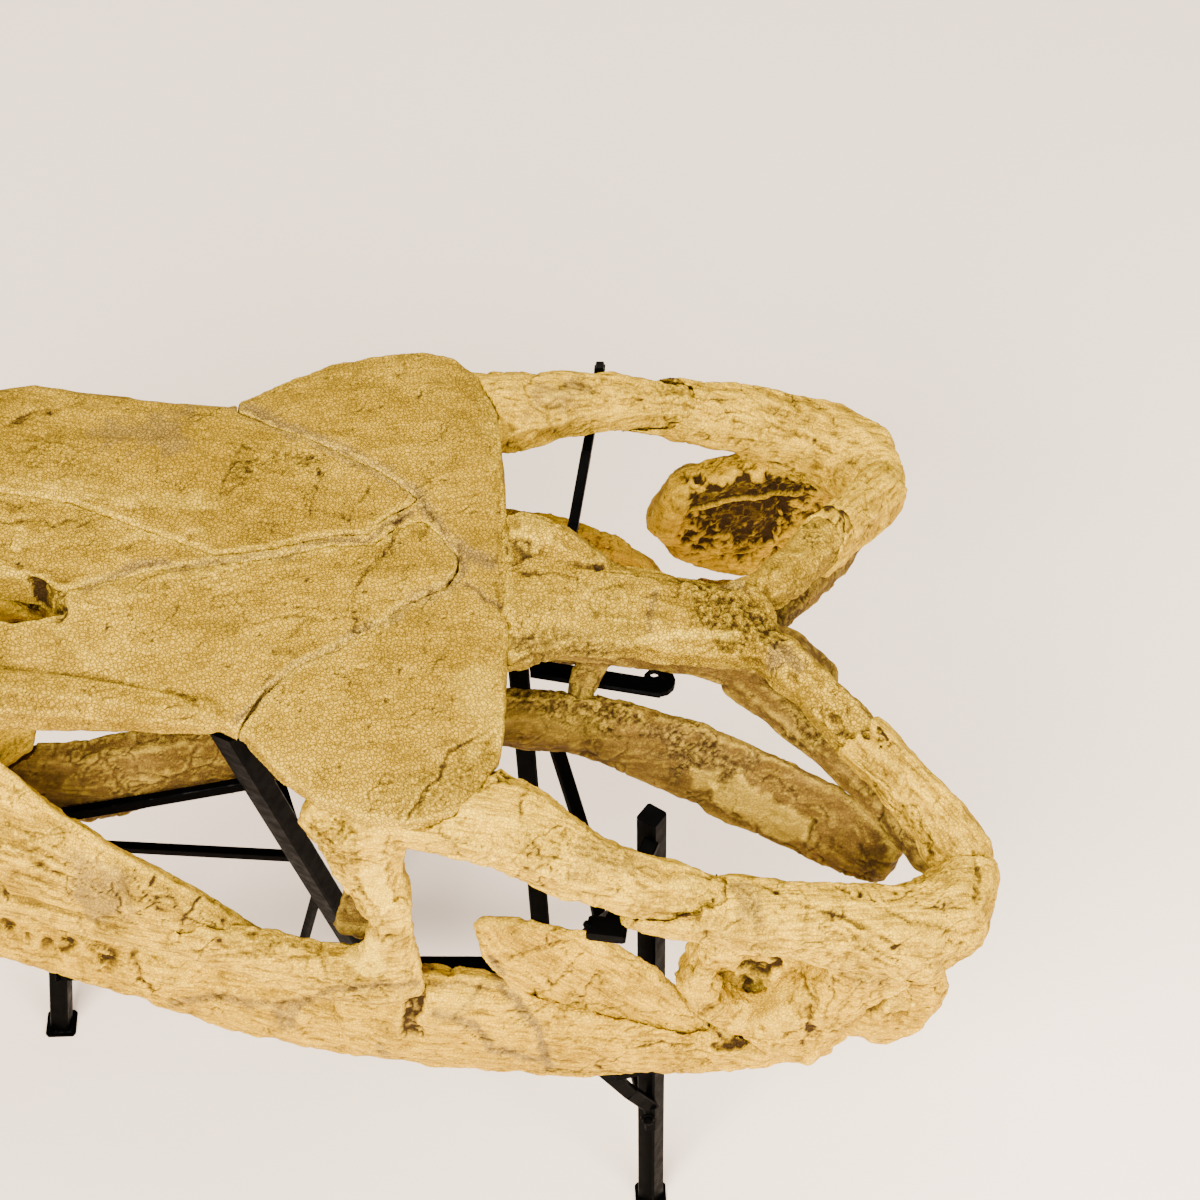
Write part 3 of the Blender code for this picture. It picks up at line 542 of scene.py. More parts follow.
class Wiring(NodeTree):
    """A shader tree, with the nodes that the finishes use most."""

    def stretch(self, value: bpy.types.NodeSocket, low: float, high: float, to_low: float = 0.0,
                to_high: float = 1.0) -> bpy.types.NodeSocket:
        """A Map Range node's output, clamped."""
        node = self.add("ShaderNodeMapRange", clamp=True, interpolation_type="SMOOTHSTEP")
        self.join(value, node.inputs["Value"])
        for key, number in (("From Min", low), ("From Max", high), ("To Min", to_low), ("To Max", to_high)):
            node.inputs[key].default_value = number
        return node.outputs["Result"]

    def noise(self, vector: bpy.types.NodeSocket, scale: float, detail: float = 4.0, rough: float = 0.55,
              bend: float = 0.0) -> bpy.types.NodeSocket:
        """A Noise Texture's value."""
        node = self.add("ShaderNodeTexNoise")
        self.join(vector, node.inputs["Vector"])
        node.inputs["Scale"].default_value = scale
        node.inputs["Detail"].default_value = detail
        node.inputs["Roughness"].default_value = rough
        node.inputs["Distortion"].default_value = bend
        return node.outputs["Fac"]

    def blend(self, amount: object, a: object, b: object) -> bpy.types.NodeSocket:
        """A colour Mix node's output."""
        node = self.add("ShaderNodeMix", data_type="RGBA", clamp_factor=True)
        self.feed(node.inputs[0], amount)
        self.feed(node.inputs[6], a)
        self.feed(node.inputs[7], b)
        return node.outputs[2]

    def attribute(self, name: str, vector: bool = False) -> bpy.types.NodeSocket:
        """A mesh attribute, as a number or as a vector."""
        node = self.add("ShaderNodeAttribute", attribute_name=name)
        return node.outputs["Vector" if vector else "Fac"]

    def scaled(self, vector: bpy.types.NodeSocket, by: tuple[float, float, float]) -> bpy.types.NodeSocket:
        """A vector multiplied part by part."""
        node = self.add("ShaderNodeVectorMath", operation="MULTIPLY")
        self.join(vector, node.inputs[0])
        node.inputs[1].default_value = by
        return node.outputs[0]


def fossil_group() -> bpy.types.ShaderNodeTree:
    """The shader group that every bone shares: mottled ochre bone with fill, painted shade in hollows and
    cracks, and crests made paler by both real scuffing and painted highlight.

    Returns:
        The group, with colours and strengths as inputs and a colour, a roughness and a height as outputs.
    """
    tree = bpy.data.node_groups.new("fossil_bone", "ShaderNodeTree")
    for title in ("Ochre", "Cream", "Brown", "Plaster"):
        tree.interface.new_socket(title, in_out="INPUT", socket_type="NodeSocketColor")
    for title in ("Creaminess", "Relief", "Fibre", "Stain"):
        tree.interface.new_socket(title, in_out="INPUT", socket_type="NodeSocketFloat")
    tree.interface.new_socket("Colour", in_out="OUTPUT", socket_type="NodeSocketColor")
    for title in ("Height", "Roughness"):
        tree.interface.new_socket(title, in_out="OUTPUT", socket_type="NodeSocketFloat")
    wire = Wiring(tree)
    given = wire.add("NodeGroupInput").outputs
    place = wire.add("ShaderNodeTexCoord").outputs["Object"]
    grain = wire.attribute("grain", vector=True)
    hollow, crest = wire.attribute("hollow"), wire.attribute("crest")
    fill, sponge = wire.attribute("fill"), wire.attribute("sponge")
    shade, pale = wire.attribute("shade"), wire.attribute("pale")

    fibre = wire.noise(wire.scaled(grain, (0.09, 1.0, 1.0)), 330, 5, 0.6)
    streak = wire.noise(wire.scaled(grain, (0.16, 1.0, 1.0)), 60, 5, 0.6, 0.4)
    mottle = wire.noise(place, 21, 6, 0.6, 0.3)
    cloud = wire.noise(place, 6.5, 3, 0.5)
    grit = wire.noise(place, 900, 3, 0.6)
    worm = wire.add("ShaderNodeTexVoronoi", feature="DISTANCE_TO_EDGE")
    warp = wire.add("ShaderNodeVectorMath", operation="ADD")
    wire.join(place, warp.inputs[0])
    swirl = wire.add("ShaderNodeTexNoise")
    wire.join(place, swirl.inputs["Vector"])
    swirl.inputs["Scale"].default_value = 260
    wire.join(wire.scaled(swirl.outputs["Color"], (0.004, 0.004, 0.004)), warp.inputs[1])
    wire.join(wire.scaled(warp.outputs[0], (1, 1, 1)), worm.inputs["Vector"])
    worm.inputs["Scale"].default_value = 300
    lace = wire.stretch(worm.outputs["Distance"], 0.0, 0.16)

    blotch = wire.plus(wire.times(mottle, 0.6), wire.times(cloud, 0.55))
    blotch = wire.plus(blotch, wire.times(wire.minus(streak, 0.5), 0.5))
    blotch = wire.plus(blotch, wire.minus(given["Creaminess"], 0.5))
    creamy = wire.stretch(blotch, 0.38, 0.78)
    colour = wire.blend(creamy, given["Ochre"], given["Cream"])
    stain = wire.times(wire.stretch(wire.noise(place, 16, 7, 0.68, 0.8), 0.47, 0.68),
            given["Stain"])
    colour = wire.blend(stain, colour, wire.blend(0.5, given["Ochre"], given["Brown"]))
    lines = wire.times(wire.stretch(fibre, 0.56, 0.36), given["Fibre"])
    colour = wire.blend(wire.times(lines, 0.5), colour, given["Brown"])
    chalk = wire.times(wire.noise(place, 80, 5, 0.6), 0.3)
    plaster = wire.blend(chalk, given["Plaster"], given["Cream"])
    colour = wire.blend(fill, colour, plaster)
    pits = wire.stretch(wire.noise(place, 230, 4, 0.65), 0.5, 0.36)
    broken = wire.times(sponge, wire.plus(wire.times(pits, 0.75), 0.25))
    colour = wire.blend(broken, colour, given["Brown"])
    # Painted shade: hollows and the shade mask darken the colour towards brown, together with the dark colour
    # of cracks and stains.
    sunk = wire.times(wire.plus(hollow, wire.times(shade, 1.5)), 0.64,
            clamp=True)
    colour = wire.blend(sunk, colour, given["Brown"])
    # Crests and the pale mask lighten the colour: pale scuffed bone, and partly painted highlight.
    worn_and_highlit = wire.plus(wire.times(crest, 0.42), wire.times(pale, 0.8),
            clamp=True)
    colour = wire.blend(worn_and_highlit, colour, wire.blend(0.5, given["Cream"], PALE_WEAR_AND_PAINTED_HIGHLIGHT))
    specks = wire.stretch(wire.noise(place, 420, 2, 0.5), 0.33, 0.25)
    colour = wire.blend(wire.times(specks, 0.55), colour, given["Brown"])
    laced = wire.times(wire.minus(1.0, lace), wire.maths("MULTIPLY",
            given["Relief"], 0.4))
    colour = wire.blend(laced, colour, given["Brown"])

    height = wire.times(wire.times(lace, given["Relief"]), 0.7)
    height = wire.plus(height, wire.times(wire.times(fibre,
            given["Fibre"]), 1.2))
    height = wire.plus(height, wire.times(grit, 0.16))
    height = wire.plus(height, wire.times(wire.noise(place, 130, 5, 0.65), 0.7))
    height = wire.minus(height, wire.times(wire.times(pits, sponge), 1.6))
    height = wire.minus(height, wire.times(specks, 0.5))
    rough = wire.stretch(mottle, 0.3, 0.7, 0.56, 0.74)

    out = wire.add("NodeGroupOutput").inputs
    wire.join(colour, out["Colour"])
    wire.join(height, out["Height"])
    wire.join(rough, out["Roughness"])
    return tree


@dataclass(frozen=True)
class BoneFinish:
    """The colour and relief of one family of bones."""

    name: str
    ochre: tuple[float, float, float] = (0.265, 0.150, 0.006)
    cream: tuple[float, float, float] = (0.45, 0.268, 0.014)
    brown: tuple[float, float, float] = (0.030, 0.015, 0.004)
    plaster: tuple[float, float, float] = (0.15, 0.094, 0.036)
    creaminess: float = 0.5
    relief: float = 0.5
    fibre: float = 0.5
    stain: float = 0.5

    def material(self, group: bpy.types.ShaderNodeTree) -> bpy.types.Material:
        """Builds the finish.

        Args:
            group: the shared fossil bone group.

        Returns:
            The material.
        """
        made = bpy.data.materials.new(self.name)
        made.use_nodes = True
        wire = Wiring(made.node_tree)
        shader = made.node_tree.nodes["Principled BSDF"]
        bone = wire.add("ShaderNodeGroup", node_tree=group)
        for title, value in (
            ("Ochre", (*self.ochre, 1)), ("Cream", (*self.cream, 1)), ("Brown", (*self.brown, 1)),
            ("Plaster", (*self.plaster, 1)), ("Creaminess", self.creaminess), ("Relief", self.relief),
            ("Fibre", self.fibre), ("Stain", self.stain),
        ):
            bone.inputs[title].default_value = value
        bump = wire.add("ShaderNodeBump")
        bump.inputs["Strength"].default_value = 0.9
        bump.inputs["Distance"].default_value = 0.0022
        wire.join(bone.outputs["Height"], bump.inputs["Height"])
        wire.join(bump.outputs["Normal"], shader.inputs["Normal"])
        wire.join(bone.outputs["Colour"], shader.inputs["Base Color"])
        wire.join(bone.outputs["Roughness"], shader.inputs["Roughness"])
        shader.inputs["Specular IOR Level"].default_value = 0.03
        return made


@dataclass(frozen=True)
class EnamelFinish:
    """Darker, glossier tooth crowns, streaked from root to tip."""

    name: str = "tooth_enamel"
    root: tuple[float, float, float] = (0.40, 0.23, 0.03)
    tip: tuple[float, float, float] = (0.15, 0.072, 0.012)
    flaw: tuple[float, float, float] = (0.48, 0.29, 0.05)

    def material(self) -> bpy.types.Material:
        """Builds the finish, which reads the crown attribute for height on the tooth."""
        made = bpy.data.materials.new(self.name)
        made.use_nodes = True
        wire = Wiring(made.node_tree)
        shader = made.node_tree.nodes["Principled BSDF"]
        place = wire.add("ShaderNodeTexCoord").outputs["Object"]
        crown = wire.attribute("crown")
        streak = wire.noise(wire.scaled(place, (1.0, 1.0, 0.12)), 420, 4, 0.6)
        amount = wire.stretch(wire.plus(crown, wire.times(streak, 0.5)), 0.35, 1.15)
        colour = wire.blend(amount, (*self.root, 1), (*self.tip, 1))
        flaws = wire.stretch(wire.noise(place, 260, 5, 0.6), 0.62, 0.75)
        wire.join(wire.blend(flaws, colour, (*self.flaw, 1)), shader.inputs["Base Color"])
        wire.join(wire.stretch(streak, 0.3, 0.7, 0.28, 0.48), shader.inputs["Roughness"])
        bump = wire.add("ShaderNodeBump")
        bump.inputs["Strength"].default_value = 0.3
        bump.inputs["Distance"].default_value = 0.0006
        wire.join(streak, bump.inputs["Height"])
        wire.join(bump.outputs["Normal"], shader.inputs["Normal"])
        shader.inputs["Specular IOR Level"].default_value = 0.25
        return made


@dataclass(frozen=True)
class SteelFinish:
    """Black satin paint on welded steel, lighter on its edges where the paint is worn and as painted
    highlight, with a breath of rust.
    """

    name: str = "black_satin_steel"
    paint: tuple[float, float, float] = (0.0006, 0.0006, 0.0006)
    dusty: tuple[float, float, float] = (0.0016, 0.0015, 0.0014)
    rubbed: tuple[float, float, float] = (0.009, 0.0085, 0.008)
    rust: tuple[float, float, float] = (0.005, 0.0028, 0.0018)

    def material(self) -> bpy.types.Material:
        """Builds the finish, which reads the edge attribute for worn paint and painted highlight on edges."""
        made = bpy.data.materials.new(self.name)
        made.use_nodes = True
        wire = Wiring(made.node_tree)
        shader = made.node_tree.nodes["Principled BSDF"]
        place = wire.add("ShaderNodeTexCoord").outputs["Object"]
        edge = wire.attribute("edge")
        patchy = wire.stretch(wire.noise(place, 120, 6, 0.65), 0.5, 0.66)
        # Edges drawn lighter: worn paint, partly painted highlight.
        edge_wear_and_highlight = wire.times(edge, patchy)
        dust = wire.stretch(wire.noise(place, 34, 5, 0.6), 0.5, 0.75, 0.0, 0.35)
        colour = wire.blend(dust, (*self.paint, 1), (*self.dusty, 1))
        colour = wire.blend(edge_wear_and_highlight, colour, (*self.rubbed, 1))
        rusty = wire.times(wire.stretch(wire.noise(place, 55, 6, 0.7), 0.62, 0.76), 0.6)
        colour = wire.blend(rusty, colour, (*self.rust, 1))
        wire.join(colour, shader.inputs["Base Color"])
        rough = wire.stretch(wire.noise(place, 75, 5, 0.6), 0.3, 0.7, 0.3, 0.5)
        wire.join(wire.plus(rough, wire.times(rusty, 0.4)), shader.inputs["Roughness"])
        bump = wire.add("ShaderNodeBump")
        bump.inputs["Strength"].default_value = 0.25
        bump.inputs["Distance"].default_value = 0.0005
        wire.join(wire.noise(place, 520, 4, 0.6), bump.inputs["Height"])
        wire.join(bump.outputs["Normal"], shader.inputs["Normal"])
        shader.inputs["Specular IOR Level"].default_value = 0.005
        return made


# Teeth, bolts and weld beads by Geometry Nodes


class NodeRecipe(NodeTree):
    """A Geometry Nodes tree that places one form on every point of a mesh."""

    def __init__(self, name: str, inputs: dict[str, tuple[str, object]]) -> None:
        """Starts the tree.

        Args:
            name: the tree's name.
            inputs: socket kinds and default values by name.
        """
        super().__init__(bpy.data.node_groups.new(name, "GeometryNodeTree"))
        face = self.tree.interface
        face.new_socket("Geometry", in_out="INPUT", socket_type="NodeSocketGeometry")
        self.ids = {}
        for title, (kind, value) in inputs.items():
            socket = face.new_socket(title, in_out="INPUT", socket_type=kind)
            if value is not None:
                socket.default_value = value
            self.ids[title] = socket.identifier
        face.new_socket("Geometry", in_out="OUTPUT", socket_type="NodeSocketGeometry")
        self.given = self.add("NodeGroupInput").outputs
        self.result = self.add("NodeGroupOutput").inputs

    def named(self, title: str, kind: str) -> bpy.types.NodeSocket:
        """A named attribute of the points."""
        node = self.add("GeometryNodeInputNamedAttribute", data_type=kind)
        node.inputs["Name"].default_value = title
        return node.outputs["Attribute"]

    def close(self, geometry: bpy.types.NodeSocket) -> None:
        """Ends the tree in realized instances, smooth shading and the finish."""
        real = self.add("GeometryNodeRealizeInstances")
        smooth = self.add("GeometryNodeSetShadeSmooth")
        dress = self.add("GeometryNodeSetMaterial")
        self.join(geometry, real.inputs["Geometry"])
        self.join(real.outputs[0], smooth.inputs["Geometry"])
        self.join(smooth.outputs[0], dress.inputs["Geometry"])
        self.join(self.given["Finish"], dress.inputs["Material"])
        self.join(dress.outputs[0], self.result[0])

    def scatter(self, form: bpy.types.NodeSocket) -> None:
        """Puts a form on each point, turned and sized by the points' turn and size attributes."""
        place = self.add("GeometryNodeInstanceOnPoints")
        turn = self.add("FunctionNodeEulerToRotation")
        self.join(self.given["Geometry"], place.inputs["Points"])
        self.join(form, place.inputs["Instance"])
        self.join(self.named("turn", "FLOAT_VECTOR"), turn.inputs[0])
        self.join(turn.outputs[0], place.inputs["Rotation"])
        self.join(self.named("size", "FLOAT_VECTOR"), place.inputs["Scale"])
        self.close(place.outputs[0])

    def grow(self, name: str, seats: list["Seat"], **values: object) -> bpy.types.Object:
        """Runs the tree over points and keeps the plain mesh.

        Args:
            name: the new object's name.
            seats: where the form goes.
            **values: the tree's inputs by name, with underscores for spaces.

        Returns:
            A linked mesh object at the origin, with no modifier.
        """
        data = bpy.data.meshes.new(name + "_seats")
        data.from_pydata([seat.place for seat in seats], [], [])
        for title in ("turn", "size"):
            layer = data.attributes.new(title, "FLOAT_VECTOR", "POINT")
            rows = np.array([getattr(seat, title) for seat in seats], np.float32)
            layer.data.foreach_set("vector", rows.ravel())
        holder = bpy.data.objects.new(name, data)
        bpy.context.scene.collection.objects.link(holder)
        modifier = holder.modifiers.new("grow", "NODES")
        modifier.node_group = self.tree
        for title, value in values.items():
            modifier[self.ids[title.replace("_", " ")]] = value
        holder.update_tag()
        graph = bpy.context.evaluated_depsgraph_get()
        grown = bpy.data.meshes.new_from_object(holder.evaluated_get(graph))
        holder.modifiers.remove(modifier)
        holder.data = grown
        bpy.data.meshes.remove(data)
        return holder


@dataclass(frozen=True)
class Seat:
    """A place for one repeated form: where, which way and how large."""

    place: tuple[float, float, float]
    turn: tuple[float, float, float]
    size: tuple[float, float, float]


def seat_facing(place: Vector, up: Vector, forward: Vector, size: tuple[float, float, float]) -> Seat:
    """A seat whose form stands along up, with its own x towards forward."""
    z = up.normalized()
    x = (forward - z * forward.dot(z)).normalized()
    turn = Matrix((x, z.cross(x), z)).transposed().to_euler()
    return Seat(tuple(place), tuple(turn), size)


def tooth_recipe() -> NodeRecipe:
    """A curved, fluted tooth cone, one unit tall and one unit in radius at its root.

    Returns:
        The recipe, with Sides, Rings, Flutes, Flute Depth, Lean and Finish as inputs.
    """
    recipe = NodeRecipe("fluted_tooth", {
        "Sides": ("NodeSocketInt", 28), "Rings": ("NodeSocketInt", 12), "Flutes": ("NodeSocketFloat", 9.0),
        "Flute Depth": ("NodeSocketFloat", 0.045), "Lean": ("NodeSocketFloat", 0.5),
        "Finish": ("NodeSocketMaterial", None),
    })
    cone = recipe.add("GeometryNodeMeshCylinder", fill_type="NGON")
    recipe.join(recipe.given["Sides"], cone.inputs["Vertices"])
    recipe.join(recipe.given["Rings"], cone.inputs["Side Segments"])
    cone.inputs["Radius"].default_value = 1.0
    cone.inputs["Depth"].default_value = 1.0
    spot = recipe.add("ShaderNodeSeparateXYZ")
    recipe.join(recipe.add("GeometryNodeInputPosition").outputs[0], spot.inputs[0])
    rise = recipe.plus(spot.outputs["Z"], 0.5)
    taper = recipe.minus(1.0, recipe.times(recipe.maths("POWER", rise, 1.35), 0.93))
    swell = recipe.maths("SINE", recipe.times(rise, 3.14159))
    swell = recipe.maths("MULTIPLY_ADD", swell, 0.1, 0.0)
    angle = recipe.maths("ARCTAN2", spot.outputs["Y"], spot.outputs["X"])
    wave = recipe.maths("COSINE", recipe.times(angle, recipe.given["Flutes"]))
    fade = recipe.times(recipe.given["Flute Depth"], recipe.minus(1.0, rise))
    round_by = recipe.maths("MULTIPLY_ADD", wave, fade, 1.0)
    radius = recipe.times(recipe.plus(taper, swell), round_by)
    bend = recipe.times(recipe.times(rise, rise), recipe.given["Lean"])
    made = recipe.add("ShaderNodeCombineXYZ")
    recipe.join(recipe.maths("MULTIPLY_ADD", spot.outputs["X"], radius, bend), made.inputs["X"])
    recipe.join(recipe.times(spot.outputs["Y"], radius), made.inputs["Y"])
    recipe.join(recipe.minus(rise, 0.18), made.inputs["Z"])
    crown = recipe.add("GeometryNodeStoreNamedAttribute", data_type="FLOAT", domain="POINT")
    crown.inputs["Name"].default_value = "crown"
    recipe.join(cone.outputs["Mesh"], crown.inputs["Geometry"])
    recipe.join(rise, crown.inputs["Value"])
    move = recipe.add("GeometryNodeSetPosition")
    recipe.join(crown.outputs["Geometry"], move.inputs["Geometry"])
    recipe.join(made.outputs[0], move.inputs["Position"])
    recipe.scatter(move.outputs["Geometry"])
    return recipe


def bolt_recipe() -> NodeRecipe:
    """A hexagon bolt head on a round washer, one unit across its washer."""
    recipe = NodeRecipe("bolt_head", {
        "Corners": ("NodeSocketInt", 6), "Washer Sides": ("NodeSocketInt", 24),
        "Finish": ("NodeSocketMaterial", None),
    })
    parts = recipe.add("GeometryNodeJoinGeometry")
    for sides, radius, depth, lift in (("Washer Sides", 0.5, 0.12, 0.06), ("Corners", 0.36, 0.3, 0.26),
                                       ("Washer Sides", 0.2, 0.06, 0.43)):
        disc = recipe.add("GeometryNodeMeshCylinder", fill_type="NGON")
        recipe.join(recipe.given[sides], disc.inputs["Vertices"])
        disc.inputs["Radius"].default_value = radius
        disc.inputs["Depth"].default_value = depth
        move = recipe.add("GeometryNodeTransform")
        move.inputs["Translation"].default_value = (0, 0, lift)
        recipe.join(disc.outputs["Mesh"], move.inputs["Geometry"])
        recipe.join(move.outputs[0], parts.inputs[0])
    recipe.scatter(parts.outputs[0])
    return recipe


def weld_recipe() -> NodeRecipe:
    """A squashed drop of weld metal, laid in rows to make a bead."""
    recipe = NodeRecipe("weld_drop", {"Detail": ("NodeSocketInt", 2), "Finish": ("NodeSocketMaterial", None)})
    drop = recipe.add("GeometryNodeMeshIcoSphere")
    recipe.join(recipe.given["Detail"], drop.inputs["Subdivisions"])
    drop.inputs["Radius"].default_value = 1.0
    recipe.scatter(drop.outputs["Mesh"])
    return recipe


# Bones


@dataclass
class BoneJob:
    """What one bone gets: its finish, how rough it is, and its own marks."""

    node: str
    finish: BoneFinish
    rough: Weathering
    marks: tuple = ()
    along: tuple | None = None
    voxel: float = 1.0
    relax: int = 14


class Workshop:
    """The materials and recipes that all sub-assemblies share."""

    def __init__(self) -> None:
        """Builds the shared group, finishes and recipes once."""
        self.group = fossil_group()
        self.made: dict[str, bpy.types.Material] = {}
        self.enamel = EnamelFinish().material()
        self.steel = SteelFinish().material()
        self.tooth = tooth_recipe()
        self.bolt = bolt_recipe()
        self.weld = weld_recipe()
        self.voxel = VOXEL

    def bone_material(self, finish: BoneFinish) -> bpy.types.Material:
        """The material of a finish, made once."""
        if finish.name not in self.made:
            self.made[finish.name] = finish.material(self.group)
        return self.made[finish.name]

    def bone(self, job: BoneJob, teeth: list[Seat] | None = None) -> bpy.types.Object:
        """Builds one bone's piece and puts it in place of its node.

        Args:
            job: what the bone gets.
            teeth: seats of teeth that grow from it.

        Returns:
            The piece.
        """
        shape = BoneShape(job.node, self.voxel * job.voxel)
        shape.relax(job.relax)
        shape.lay_grain(job.along)
        shape.weather(job.rough)
        shape.draw(job.marks)
        piece = shape.finish(job.node + "_fossil", [self.bone_material(job.finish)])
        if teeth:
            self.plant(piece, teeth)
        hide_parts(job.node)
        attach(piece, "root")
        LOG.info("%s: %d points", piece.name, len(piece.data.vertices))
        return piece

    def plant(self, piece: bpy.types.Object, seats: list[Seat]) -> None:
        """Joins a row of teeth to the bone they grow from."""
        row = self.tooth.grow(piece.name + "_teeth", seats, Finish=self.enamel)
        row.data.materials.clear()
        row.data.materials.append(self.enamel)
        piece.data.materials.append(self.enamel)
        both = bmesh.new()
        both.from_mesh(piece.data)
        before = len(both.faces)
        both.from_mesh(row.data)
        both.faces.ensure_lookup_table()
        for face in both.faces[before:]:
            face.material_index = 1
            face.smooth = True
        both.to_mesh(piece.data)
        both.free()
        bpy.data.objects.remove(row, do_unlink=True)


ROOF = BoneFinish("roof_bone", creaminess=0.47, relief=1.0, fibre=0.45, stain=0.5)
BARS = BoneFinish(
    "bar_bone", (0.33, 0.175, 0.004), (0.68, 0.395, 0.010), creaminess=0.62, relief=0.6, fibre=1.0,
            stain=0.75,
)
JAW = BoneFinish(
    "jaw_bone", (0.33, 0.170, 0.002), (0.64, 0.355, 0.003), creaminess=0.62, relief=0.6, fibre=0.9,
            stain=0.75,
)
# Darker than the other bones: partly their own browner colour, partly painted shade under the roof.
PALATE_BROWN_AND_SHADE = BoneFinish(
    "palate_bone", (0.085, 0.043, 0.006), (0.23, 0.128, 0.022), creaminess=0.42, relief=0.5, fibre=0.6,
            stain=0.75,
)


@dataclass
class SkullRoof:
    """Frontal, prefrontals and parietal: the flat golden top of the skull."""

    shop: Workshop
    rough: Weathering = Weathering(
        swell=1.2, lumps=0.5, fibres=0.3, splits=0.5, cracks=0.5, pits=1.1, pit_share=0.09,
                rough_patches=0.35,
        creases=0.5,
    )

    def build(self) -> list[bpy.types.Object]:
        """Builds the four bones of the roof."""
        names = ("frontal", "prefrontal_left", "prefrontal_right")
        jobs = [BoneJob(node, ROOF, self.rough, ROOF_MARKS) for node in names]
        rugged = Weathering(swell=2.4, lumps=1.4, pit_share=0.08, seed=3)
        jobs.append(BoneJob("parietal", ROOF, rugged, PARIETAL_MARKS))
        return [self.shop.bone(job) for job in jobs]


@dataclass
class Cheek:
    """The bars behind and below one eye, and the quadrate that hangs from them."""

    shop: Workshop
    side: Side

    def build(self) -> list[bpy.types.Object]:
        """Builds one side's bars, corner and quadrate."""
        word, seed = self.side.word, 5 + self.side.value
        bars = Weathering(swell=2.2, lumps=1.3, fibres=1.0, splits=1.5, cracks=1.0, pit_share=0.07, seed=seed)
        lumpy = Weathering(
            swell=2.6, lumps=1.7, fibres=0.5, pits=1.4, pit_share=0.12, rough_patches=1.0, seed=seed + 2,
        )
        near = self.side is Side.LEFT
        marks = CHEEK_MARKS if near else FAR_MARKS
        names = ("postorbitofrontal_", "squamosal_", "supratemporal_")
        jobs = [BoneJob(name + word, BARS, bars, marks) for name in names]
        jobs.append(BoneJob("jugal_" + word, BARS, bars, CHEEK_MARKS if near else ()))
        jobs.append(BoneJob("quadrate_" + word, JAW, lumpy, QUADRATE_MARKS if near else FAR_MARKS))
        return [self.shop.bone(job) for job in jobs]


def skull_point(x: float, y: float, z: float) -> Vector:
    """A point of the skull's own frame, in millimetres, in the shared frame in metres."""
    c, s = math.cos(SKULL_TILT), math.sin(SKULL_TILT)
    return Vector((x * c + z * s + LENGTH_SHIFT, y + WIDTH_SHIFT, -x * s + z * c + ROOF_LEVEL)) * MM


SKULL_TILT = math.radians(10)
LENGTH_SHIFT, WIDTH_SHIFT, ROOF_LEVEL = 273.4, -10.5, 750.0
RIGHT_SPREAD = 1.08
RIGHT_JAW_DROP = 20.0
TOOTH_LINE = (
    (-905, 34), (-880, 54), (-840, 76), (-760, 106), (-660, 134), (-560, 160), (-460, 186),
    (-380, 205), (-300, 219), (-230, 229),
)
DENTARY_TOP = ((-905, -352), (-800, -340), (-700, -324), (-600, -311), (-500, -301), (-400, -292), (-300,
        -298))


def along_line(line: tuple[tuple[float, float], ...], x: float) -> float:
    """The value of a line of (x, value) pairs at x."""
    return float(np.interp(x, [p[0] for p in line], [p[1] for p in line]))


@dataclass
class ToothRow:
    """One row of teeth, at the same places as in the solids."""

    side: Side
    first: float
    last: float
    pitch: float
    tall: float
    radius: float
    inset: float
    down: bool

    def seats(self) -> list[Seat]:
        """Seats for the whole row."""
        count = 1 + int((self.last - self.first) / self.pitch)
        right = self.side is Side.RIGHT
        spread = RIGHT_SPREAD if right and self.down else 1.0
        found = []
        for k in range(count):
            x = self.first + self.pitch * k
            size = 1.0 - 0.35 * abs(2 * k / (count - 1) - 0.7) ** 1.5
            z = -266 if self.down else along_line(DENTARY_TOP, x) - 3
            if right and not self.down:
                z -= RIGHT_JAW_DROP * min(max((x + 700) / 700, 0.0), 1.0)
            y = self.side.value * spread * (along_line(TOOTH_LINE, x) - self.inset)
            found.append(tooth_seat(x, y, z, self.tall * size, self.radius * size, self.down))
        return found


def tooth_seat(x: float, y: float, z: float, tall: float, radius: float, down: bool) -> Seat:
    """A seat for one tooth, in skull millimetres, leaning back."""
    here, root = skull_point(x, y, z), radius * TOOTH_FLARE * MM
    up = (skull_point(x, y, z + (-1 if down else 1)) - here).normalized()
    back = (skull_point(x + 1, y, z) - here).normalized()
    return seat_facing(here, up, back, (root, root, tall * TOOTH_STRETCH * MM))


@dataclass
class Snout:
    """Premaxilla and maxillae with their teeth."""

    shop: Workshop
    rough: Weathering = Weathering(swell=1.5, lumps=0.6, fibres=0.4, pit_share=0.1, seed=11)

    def build(self) -> list[bpy.types.Object]:
        """Builds the three bones of the snout with their teeth."""
        found = []
        front = [tooth_seat(x, y * s, -252, tall, radius, True)
                 for s in (-1, 1) for x, y, tall, radius in ((-908, 18, 38, 11), (-876, 42, 44, 13))]
        found.append(self.shop.bone(BoneJob("premaxilla", ROOF, self.rough, ROOF_MARKS), front))
        for side in Side:
            row = ToothRow(side, -822, -440, 47.5, 46, 14, -2, True)
            marks = CHEEK_MARKS if side is Side.LEFT else ()
            job = BoneJob("maxilla_" + side.word, BARS, self.rough, marks, voxel=MAXILLA_SPACING)
            found.append(self.shop.bone(job, row.seats()))
        return found


